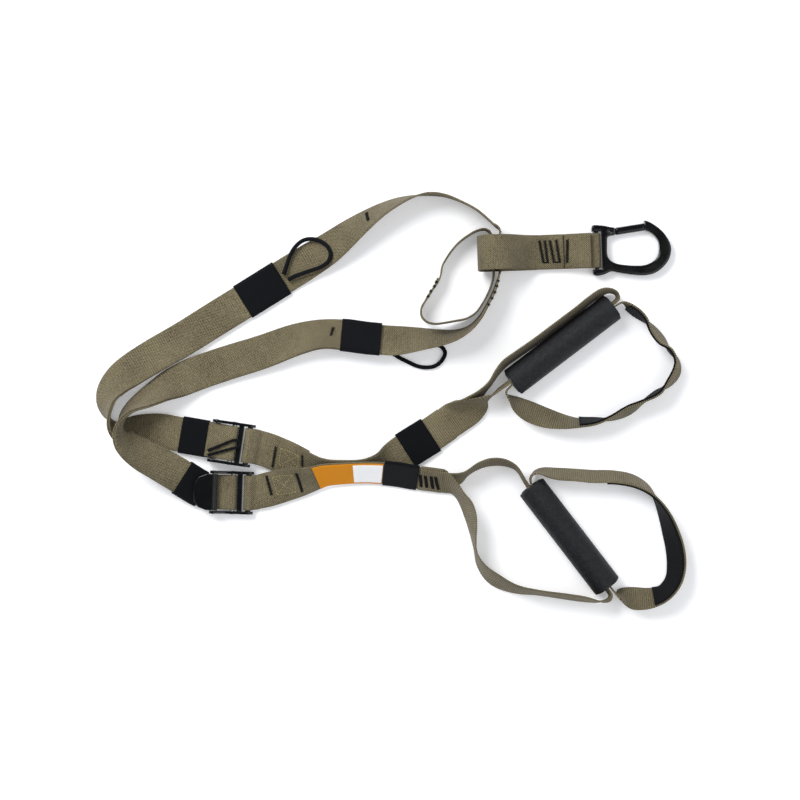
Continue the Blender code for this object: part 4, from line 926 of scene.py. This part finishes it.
def new_finish(name, values):
    """A material, its tree and its shader, with some of the shader's inputs set."""
    mat = bpy.data.materials.new(name)
    mat.use_nodes = True
    tree = mat.node_tree
    shader = tree.nodes["Principled BSDF"]
    for key, value in values.items():
        shader.inputs[key].default_value = value
    return mat, tree, shader


def math_node(tree, operation, a, b=None):
    links = {0: a}
    if b is not None:
        links[1] = b
    return add_node(tree, "ShaderNodeMath", links, operation=operation).outputs[0]


def wave_of(tree, value, pitch):
    """A sine of one coordinate with a real pitch in metres."""
    turned = math_node(tree, "MULTIPLY", value, 2 * math.pi / pitch)
    return math_node(tree, "SINE", turned)


def shade_between(tree, factor, dark, light):
    node = add_node(tree, "ShaderNodeMix", data_type="RGBA")
    tree.links.new(factor, node.inputs[0])
    node.inputs[6].default_value = dark
    node.inputs[7].default_value = light
    return node.outputs[2]


def noise(tree, scale, detail, rough):
    """Noise on the piece's own place, with its scale in cells per metre."""
    place = add_node(tree, "ShaderNodeTexCoord")
    values = {"Vector": place.outputs["Object"], "Scale": scale, "Detail": detail, "Roughness": rough}
    return add_node(tree, "ShaderNodeTexNoise", values).outputs["Fac"]


def swing(tree, value, middle, gain):
    """How far a value lies from a middle one, made gain times as large."""
    return math_node(tree, "MULTIPLY", math_node(tree, "SUBTRACT", value, middle), gain)


def raised(tree, shader, height, strength, distance, **more):
    """Relief on a finish."""
    values = {"Height": height, "Strength": strength, "Distance": distance, **more}
    bump = add_node(tree, "ShaderNodeBump", values)
    tree.links.new(bump.outputs["Normal"], shader.inputs["Normal"])


def woven(name, dark, light, pitch_along, pitch_across, rib, depth, fuzz, sheen):
    """Woven tape: crests that alternate along and across, the more in straight ribs the higher rib is. Its
    colour is painted shade in the valleys and painted light on the crests, with random specks and blotches
    of tone over both.
    """
    mat, tree, shader = new_finish(name, {
        "Roughness": 0.93, "Specular IOR Level": 0.2, "Sheen Weight": sheen, "Sheen Roughness": 0.5,
    })
    uv = add_node(tree, "ShaderNodeUVMap", uv_map="weave")
    parts = add_node(tree, "ShaderNodeSeparateXYZ", {"Vector": uv.outputs["UV"]})
    along = wave_of(tree, parts.outputs["X"], pitch_along)
    across = math_node(tree, "MULTIPLY", wave_of(tree, parts.outputs["Y"], pitch_across), 1 - rib)
    crest = math_node(tree, "MULTIPLY", along, math_node(tree, "ADD", across, rib))
    lifted = math_node(tree, "MULTIPLY_ADD", crest, 0.5)
    lifted.node.inputs[2].default_value = 0.5
    fibre = noise(tree, scale=700.0, detail=3.0, rough=0.6)
    speck = swing(tree, fibre, middle=0.5, gain=fuzz * 2)
    worn = swing(tree, noise(tree, scale=28.0, detail=2.0, rough=0.5), middle=0.5, gain=0.5)
    factor = math_node(tree, "ADD", math_node(tree, "ADD", lifted, speck), worn)
    factor.node.use_clamp = True
    # painted shade: the dark colour fills the weave's valleys; painted light: the light colour tops its
    # crests; fibre specks and worn blotches add random tone
    tree.links.new(shade_between(tree, factor, dark, light), shader.inputs["Base Color"])
    height = math_node(tree, "ADD", lifted, math_node(tree, "MULTIPLY", fibre, 0.35))
    raised(tree, shader, height, strength=0.7, distance=depth)
    return mat


def coated_metal(name, colour, rough, grain, worn_edge):
    """Black coat over forged or stamped metal: glossy with a fine orange-peel."""
    mat, tree, shader = new_finish(name, {"Base Color": colour})
    spread_rough = swing(tree, noise(tree, scale=60.0, detail=4.0, rough=0.6), middle=0.5, gain=0.22)
    tree.links.new(math_node(tree, "ADD", spread_rough, rough), shader.inputs["Roughness"])
    edge = add_node(tree, "ShaderNodeBevel", {"Radius": worn_edge}, samples=8)
    peel = noise(tree, scale=420.0, detail=2.0, rough=0.5)
    raised(tree, shader, peel, strength=grain, distance=0.0002, Normal=edge.outputs["Normal"])
    return mat


def drawn_steel(name, colour):
    """Bare turned steel with faint marks from the lathe."""
    mat, tree, shader = new_finish(name, {"Base Color": colour, "Metallic": 1.0})
    marks = noise(tree, scale=700.0, detail=2.0, rough=0.5)
    spread_rough = math_node(tree, "MULTIPLY", marks, 0.15)
    tree.links.new(math_node(tree, "ADD", spread_rough, 0.2), shader.inputs["Roughness"])
    return mat


def grip_rubber(name, colour):
    """Moulded rubber with a fine pebble that keeps a hand from slipping."""
    mat, tree, shader = new_finish(name, {"Roughness": 0.55, "Specular IOR Level": 0.35})
    place = add_node(tree, "ShaderNodeTexCoord")
    cells = {"Vector": place.outputs["Object"], "Scale": 620.0, "Randomness": 0.6}
    pebble = add_node(tree, "ShaderNodeTexVoronoi", cells)
    light = tuple(channel * 2.6 + 0.003 for channel in colour[:3]) + (1.0,)
    patchy = swing(tree, noise(tree, scale=260.0, detail=5.0, rough=0.7), middle=0.4, gain=4.0)
    patchy.node.use_clamp = True
    tree.links.new(shade_between(tree, patchy, colour, light), shader.inputs["Base Color"])
    raised(tree, shader, pebble.outputs["Distance"], strength=0.8, distance=0.0007)
    return mat


def printed_cloth(name, colour, rough):
    """Smooth printed satin of a sewn-on label, left bare."""
    mat, tree, shader = new_finish(name, {"Roughness": rough, "Specular IOR Level": 0.2})
    thread = noise(tree, scale=1400.0, detail=1.0, rough=0.5)
    dark = tuple(channel * 0.9 for channel in colour[:3]) + (1.0,)
    tree.links.new(shade_between(tree, thread, dark, colour), shader.inputs["Base Color"])
    raised(tree, shader, thread, strength=0.25, distance=0.0002)
    return mat


def finish(key):
    """The finish of one kind, made once."""
    name = "finish_" + key
    if name in bpy.data.materials:
        return bpy.data.materials[name]
    look = colours()
    webbing = (linear(look.webbing_shaded), linear(look.webbing_lit))
    cloth = (linear(look.cloth_shaded), linear(look.cloth_lit))
    # each weave: its shaded and lit colours (painted shade in the valleys, painted light on the crests),
    # pitch along and across, share of straight ribs, depth, fuzz and sheen
    weaves = {
        # heavy nylon tape of the long straps, a close weave with faint rows across
        "webbing": (*webbing, 0.0025, 0.0022, 0.15, 0.0006, 0.7, 0.1),
        # lighter tape of the handles, which shows clear ribs across
        "narrow_webbing": (*webbing, 0.0023, 0.0018, 0.4, 0.0006, 0.5, 0.1),
        # knitted elastic of the keepers, dull and nearly black
        "elastic": (*cloth, 0.0012, 0.0022, 0.3, 0.0003, 0.25, 0.03),
        # brushed lining of the foot loops
        "padding": (*cloth, 0.0009, 0.0009, 0.0, 0.0002, 0.3, 0.03),
        # tightly woven tag, left bare
        "tag": (*cloth, 0.0007, 0.0007, 0.0, 0.0001, 0.1, 0.03),
    }
    if key in weaves:
        return woven(name, *weaves[key])
    # every other finish: its maker and colour, how rough it is, then a coat's orange-peel and edge
    makers = {
        "cord": (printed_cloth, look.cloth_lit, 0.9),
        "label": (printed_cloth, look.label, 0.75),
        "panel": (printed_cloth, "FFFFFF", 0.75),
        "black_thread": (printed_cloth, "08090B", 0.8),
        "tan_thread": (printed_cloth, "AA9A6C", 0.7),
        "gloss_black": (coated_metal, "050506", 0.14, 0.1, FORGED_EDGE),
        "stamped_black": (coated_metal, "060708", 0.18, 0.15, STAMPED_EDGE),
        "core": (coated_metal, "2B2C2F", 0.5, 0.1, 0.0),
        "steel": (drawn_steel, "B4B6BA"),
        "rubber": (grip_rubber, look.rubber),
    }
    make, colour, *more = makers[key]
    return make(name, linear(colour), *more)


# Settings that a user may change


def length_prop(label, note, default):
    return FloatProperty(
        name=label, description=note, default=default, min=0.0001, precision=4, unit="LENGTH",
    )


def power_prop(label, note, default):
    return FloatProperty(name=label, description=note, default=default, min=0.0, unit="POWER")


def hex_prop(label, note, default):
    return StringProperty(name=label, description=note, default=default, maxlen=6)


class TrainerSizes(bpy.types.PropertyGroup):
    """Sizes of the sewn parts."""

    web_width: length_prop("Webbing width", "Width of the long straps", 0.038)
    web_thick: length_prop("Webbing thickness", "Thickness of the long straps", 0.002)
    handle_width: length_prop("Handle width", "Width of the handle straps", 0.0365)
    foot_width: length_prop("Foot loop width", "Width of the foot loops", 0.030)
    narrow_thick: length_prop("Handle thickness", "Thickness of handle and foot straps", 0.0018)
    cord_thick: length_prop("Cord thickness", "Diameter of the elastic cords", 0.0045)
    pull_cord_thick: length_prop("Pull cord thickness", "Diameter of the buckle's pull cord", 0.0030)
    thread: length_prop("Thread thickness", "Thickness of a bar tack's thread", 0.0009)
    stitch_pitch: length_prop("Stitch pitch", "Distance between two stitches of a seam", 0.0030)
    columns: IntProperty(name="Columns", description="Faces across a strap", default=10, min=2, max=40)


class TrainerColours(bpy.types.PropertyGroup):
    """Colours, written as sRGB hexadecimal. Each weave's dark colour is painted shade in its valleys and its
    light colour painted light on its crests.
    """

    # webbing: painted shade in the valleys of the weave, painted light on its crests
    webbing_shaded: hex_prop("Webbing valleys", "Colour between the crests of the webbing", "2C2619")
    webbing_lit: hex_prop("Webbing crests", "Colour of the crests of the webbing", "8C8266")
    # black cloth: painted shade in the valleys of the weave, painted light on its crests; the lit colour is
    # also the cords' own colour
    cloth_shaded: hex_prop("Black cloth valleys", "Colour in the depth of the black cloth", "040508")
    cloth_lit: hex_prop("Black cloth crests", "Colour of the crests of the black cloth", "080B10")
    rubber: hex_prop("Rubber", "Colour of the grips", "080A0E")
    label: hex_prop("Label", "Colour of the sewn-on label", "D98A10")


class TrainerStage(bpy.types.PropertyGroup):
    """Floor, light and camera."""

    camera_height: length_prop("Camera height", "Height of the camera above the floor", 2.4)
    view_width: length_prop("View width", "Width of floor that the camera sees", 0.88)
    floor_size: length_prop("Floor size", "Length of the floor's side", 12.0)
    key_power: power_prop("Key power", "Power of the main soft light", 54.0)
    fill_power: power_prop("Fill power", "Power of the fill light", 20.0)
    tint: FloatVectorProperty(
        name="Floor colour", description="Colour of the pale floor", default=(0.93, 0.935, 0.95),
        min=0.0, max=1.0, subtype="COLOR",
    )


# Operators, one for each group of pieces


class TRAINER_OT_cords(bpy.types.Operator):
    """Lays the two release loops and the pull cord of a buckle"""

    bl_idname = "trainer.cords"
    bl_label = "Lay the elastic cords"

    def execute(self, context):
        size = sizes()
        for node, route, across in (
            ("cord_a_upper", CORD_A_ROUTE, size.cord_thick),
            ("cord_b_upper", CORD_B_ROUTE, size.cord_thick),
            ("cord_a_lower", PULL_CORD_ROUTE, size.pull_cord_thick),
        ):
            ride(cord("elastic_" + node, route, across, finish("cord")), "trainer", node)
        return {"FINISHED"}


class TRAINER_OT_straps(bpy.types.Operator):
    """Lays the anchor strap, ring, leads, legs and stems"""

    bl_idname = "trainer.straps"
    bl_label = "Lay the long straps"

    def execute(self, context):
        width, thick = web_size()
        web = finish("webbing")
        for tag in "ab":
            name = "leg_" + tag + "_lead"
            rows = finer(lead_rows(tag))
            lay_tape("webbing_" + name, name, rows, rows, width, thick, web)
        for name, follow, tag in (
            ("leg_a_strap", doubled_leg, "a"), ("leg_b_strap", doubled_leg, "b"),
            ("stem_a", stem_rows, "a"), ("stem_b", stem_rows, "b"),
        ):
            _, path = follow(tag)
            lay_tape("webbing_" + name, name, finer(path), path, width, thick, web)
        rows = finer(anchor_rows())
        lay_tape("webbing_anchor", "anchor_strap", rows, rows, width, thick, web)
        thick = sizes().narrow_thick
        rows = finer(laid_rows(RING_SHARES, RING_WIDTH, thick))
        narrow = finish("narrow_webbing")
        lay_tape("webbing_ring", "equalizer_loop", rows, rows, RING_WIDTH, thick, narrow)
        return {"FINISHED"}


class TRAINER_OT_handles(bpy.types.Operator):
    """Lays the handle straps, the foot loops and their pads"""

    bl_idname = "trainer.handles"
    bl_label = "Lay the handles"

    def execute(self, context):
        size = sizes()
        thick, columns = size.narrow_thick, size.columns
        web, pad = finish("narrow_webbing"), finish("padding")
        for tag, sign in (("a", 1), ("b", -1)):
            body = "handle_" + tag
            stem, _ = stem_rows(tag)
            rows = handle_rows(tag, sign, stem)
            name, width = "webbing_handle_" + tag, size.handle_width
            strap = ribbon(name, finer(rows), width, thick, web, columns, -sign * CURL_DEPTH)
            cut_of(strap, rows)
            node = "handle_strap_" + tag
            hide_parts(node)
            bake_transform(strap)
            loop, rows = foot_rows(tag, sign)
            name, node, width = "webbing_foot_" + tag, "foot_strap_" + tag, size.foot_width
            lay_tape(name, node, finer(rows), rows, width, thick, web, body=body)
            rows = stretch(shifted(loop, (thick + PAD_THICK) / 2 + CLEAR), "foot_pad_" + tag)
            width -= 2 * PAD_MARGIN
            lining = ribbon("padding_foot_" + tag, finer(rows), width, PAD_THICK, pad, columns)
            ride(lining, body, "foot_pad_" + tag)
        return {"FINISHED"}


class TRAINER_OT_sleeves(bpy.types.Operator):
    """Adds the keepers, tags and label"""

    bl_idname = "trainer.sleeves"
    bl_label = "Add sleeves and label"

    def execute(self, context):
        width, thick = web_size()
        stack = 2 * thick + CLEAR
        elastic, tag_cloth = finish("elastic"), finish("tag")
        leg_a, _ = doubled_leg("a")
        leg_b, _ = doubled_leg("b")
        for node, leg, body in (
            ("keeper_a_upper", leg_a, "keeper_a"), ("keeper_b_upper", leg_b, "trainer"),
            ("keeper_a_lower", leg_a, "trainer"), ("keeper_b_lower", leg_b, "trainer"),
        ):
            rows = finer(stretch(leg, node))
            ride(sleeve("elastic_" + node, rows, width, stack, SLEEVE_WALL, elastic), body, node)
        wide = width + TAG_SLACK
        for tag in "ab":
            stem, _ = stem_rows(tag)
            node = "tag_" + tag
            rows = finer(stretch(stem, node))
            ride(sleeve("cloth_" + node, rows, wide, thick, TAG_WALL, tag_cloth), "trainer", node)
        # the label lies on stem b
        on_top = finer(stretch(shifted(stem, (thick + LABEL_THICK) / 2 + CLEAR), "care_label"))
        wide = width - TAG_SLACK
        label = ribbon("label_cloth", on_top, wide, LABEL_THICK, finish("label"))
        ride(cut_of(label, on_top), "trainer", "care_label")
        on_panel = shifted(on_top, LABEL_THICK * PANEL_RISE)
        first, last = (int(len(on_panel) * share) for share in (PANEL_START, PANEL_END))
        wide, thick = wide * PANEL_WIDTH, LABEL_THICK * PANEL_THICK
        panel = ribbon("label_panel", on_panel[first:last], wide, thick, finish("panel"))
        ride(panel, "trainer", None)
        return {"FINISHED"}


class TRAINER_OT_stitching(bpy.types.Operator):
    """Sews the bar tacks and seams"""

    bl_idname = "trainer.stitching"
    bl_label = "Sew the tacks and seams"

    def execute(self, context):
        size = sizes()
        thick, thread = size.web_thick, size.thread
        off = thick / 2 + thread * THREAD_RISE_SHARE
        black, tan = finish("black_thread"), finish("tan_thread")
        bars, seams = [], []
        # stems: a stitched box with a cross between two tacks
        for tag in "ab":
            top, _ = stem_rows(tag)
            rows = finer(top)
            for start, end in STEM_TACKS_PX[tag]:
                bars += tack_marks(rows, start, end, off)
            box = [spot_on(rows, *corner) for corner in STEM_BOX_PX[tag]]
            for corners in (box + box[:1], (box[0], box[2]), (box[1], box[3])):
                seams += seam_marks(rows, corners, off)
        # four tacks hold the handle's strand on stem b, past its tag
        for start, end in STRAND_TACKS_PX:
            bars += tack_marks(rows, start, end, off + CLEAR + size.narrow_thick)
        # ticks on the legs, the length scale of the straps
        leg, _ = doubled_leg("b")
        bars += tack_marks(finer(shifted(leg, (thick + CLEAR) / 2)), *LEG_B_TICK_PX, off)
        bars += tack_marks(finer(lead_rows("a")), *LEAD_A_TICK_PX, off)
        # five tacks across the anchor strap, joined in pairs, and the seam beside them
        rows = anchor_rows()
        third = len(rows) // 3
        for part, tacks in ((rows[:third], ANCHOR_TACKS_PX), (rows[-third:], SEAM_TACKS_PX)):
            for start, end in tacks:
                bars += tack_marks(finer(part), start, end, -off)
        # dots where the tacks of the ring and of its lead show edgewise
        ring = finer(laid_rows(RING_SHARES, RING_WIDTH, size.narrow_thick))
        bars += edge_marks(ring, RING_DOTS_PX, RING_WIDTH)
        bars += edge_marks(finer(lead_rows("b")), LEAD_B_DOTS_PX, size.web_width)
        ride(threads("bar_tacks", bars, TACK_LENGTH, thread, black), "trainer", None)
        length, fine = size.stitch_pitch * SEAM_THREAD_SHARE, thread * SEAM_THREAD_SHARE
        ride(threads("box_seams", seams, length, fine, tan), "trainer", None)
        return {"FINISHED"}


class TRAINER_OT_hardware(bpy.types.Operator):
    """Gives the metal, steel, rubber and plastic pieces their finishes"""

    bl_idname = "trainer.hardware"
    bl_label = "Finish the hardware"

    def execute(self, context):
        kinds = {
            "gloss_black": ("carabiner_body", "carabiner_gate", "gate_hinge_pin", "anchor_bar"),
            "stamped_black": ("buckle_frame_a", "buckle_frame_b", "cam_lever_a", "cam_lever_b"),
            "steel": ("roller_a", "roller_b", "cam_pin_a", "cam_pin_b"),
            "rubber": ("grip_a", "grip_b"),
            "core": ("grip_core_a", "grip_core_b"),
        }
        for kind, nodes in kinds.items():
            for node in nodes:
                obj = frame["nodes"][node]
                for slot in obj.material_slots:
                    slot.material = finish(kind)
        return {"FINISHED"}


class TRAINER_OT_stage(bpy.types.Operator):
    """Sets the floor, the light and the camera"""

    bl_idname = "trainer.stage"
    bl_label = "Set the stage"

    def execute(self, context):
        scene = context.scene
        stage = scene.trainer_stage
        bpy.ops.mesh.primitive_plane_add(size=stage.floor_size, location=(0, 0, 0))
        floor = context.active_object
        floor.name = "floor"
        mat, _, _ = new_finish("finish_floor", {
            "Base Color": (*stage.tint, 1.0), "Roughness": 0.9, "Emission Color": WHITE,
            "Emission Strength": FLOOR_GLOW,
        })
        floor.data.materials.append(mat)
        for name, place, size, power in (
            ("key_light", *KEY_LIGHT, stage.key_power),
            ("fill_light", *FILL_LIGHT, stage.fill_power),
        ):
            lamp = bpy.data.lights.new(name, "AREA")
            lamp.shape = "DISK"
            lamp.size = size
            lamp.energy = power
            holder = linked(name, lamp)
            holder.location = place
            holder.rotation_euler = (-Vector(place)).to_track_quat("-Z", "Y").to_euler()
        world = bpy.data.worlds.new("studio")
        scene.world = world
        world.use_nodes = True
        tree = world.node_tree
        seen = add_node(tree, "ShaderNodeLightPath")
        lit = tree.nodes["Background"]
        lit.inputs["Color"].default_value = ROOM_COLOUR
        # bevels mirror the room's bright walls, flat tops its dark ceiling
        aim = add_node(tree, "ShaderNodeTexCoord")
        parts = add_node(tree, "ShaderNodeSeparateXYZ", {"Vector": aim.outputs["Generated"]})
        level = math_node(tree, "SUBTRACT", 1.0, math_node(tree, "ABSOLUTE", parts.outputs["Z"]))
        wall = math_node(tree, "MULTIPLY", math_node(tree, "POWER", level, WALL_FALL), WALL_LIGHT)
        change = math_node(tree, "ADD", wall, MIRRORED_LIGHT - ROOM_LIGHT)
        change = math_node(tree, "MULTIPLY", change, seen.outputs["Is Glossy Ray"])
        tree.links.new(math_node(tree, "ADD", change, ROOM_LIGHT), lit.inputs["Strength"])
        white = add_node(tree, "ShaderNodeBackground", {"Color": WHITE, "Strength": 1.0})
        either = add_node(tree, "ShaderNodeMixShader", {0: seen.outputs["Is Camera Ray"]})
        tree.links.new(lit.outputs[0], either.inputs[1])
        tree.links.new(white.outputs[0], either.inputs[2])
        tree.links.new(either.outputs[0], tree.nodes["World Output"].inputs["Surface"])
        camera = bpy.data.cameras.new("camera")
        camera.sensor_width = SENSOR_MM
        camera.lens = SENSOR_MM * stage.camera_height / stage.view_width
        holder = linked("camera", camera)
        holder.location = floor_point(*PHOTO_CENTRE_PX, stage.camera_height)
        scene.camera = holder
        scene.view_settings.view_transform = "Standard"
        return {"FINISHED"}


class TRAINER_PT_panel(bpy.types.Panel):
    """Sizes, colours and the steps in order"""

    bl_idname = "TRAINER_PT_panel"
    bl_label = "Suspension trainer"
    bl_space_type = "VIEW_3D"
    bl_region_type = "UI"
    bl_category = "Trainer"

    def draw(self, context):
        layout = self.layout
        for name, group in GROUPS:
            for key in group.__annotations__:
                layout.prop(getattr(context.scene, name), key)
        for step in STEPS:
            layout.operator(step.bl_idname)


STEPS = (
    TRAINER_OT_stage, TRAINER_OT_cords, TRAINER_OT_straps, TRAINER_OT_handles, TRAINER_OT_sleeves,
    TRAINER_OT_stitching, TRAINER_OT_hardware,
)
GROUPS = (
    ("trainer_sizes", TrainerSizes), ("trainer_colours", TrainerColours), ("trainer_stage", TrainerStage),
)


def register():
    for name, group in GROUPS:
        bpy.utils.register_class(group)
        setattr(bpy.types.Scene, name, PointerProperty(type=group))
    for step in STEPS:
        bpy.utils.register_class(step)
    bpy.utils.register_class(TRAINER_PT_panel)


def unregister():
    bpy.utils.unregister_class(TRAINER_PT_panel)
    for step in reversed(STEPS):
        bpy.utils.unregister_class(step)
    for name, group in reversed(GROUPS):
        delattr(bpy.types.Scene, name)
        bpy.utils.unregister_class(group)


def main():
    register()
    bpy.ops.trainer.stage()
    bpy.ops.trainer.cords()
    bpy.ops.trainer.straps()
    bpy.ops.trainer.handles()
    bpy.ops.trainer.sleeves()
    bpy.ops.trainer.stitching()
    bpy.ops.trainer.hardware()
    bpy.context.view_layer.update()


if __name__ == "__main__":
    main()
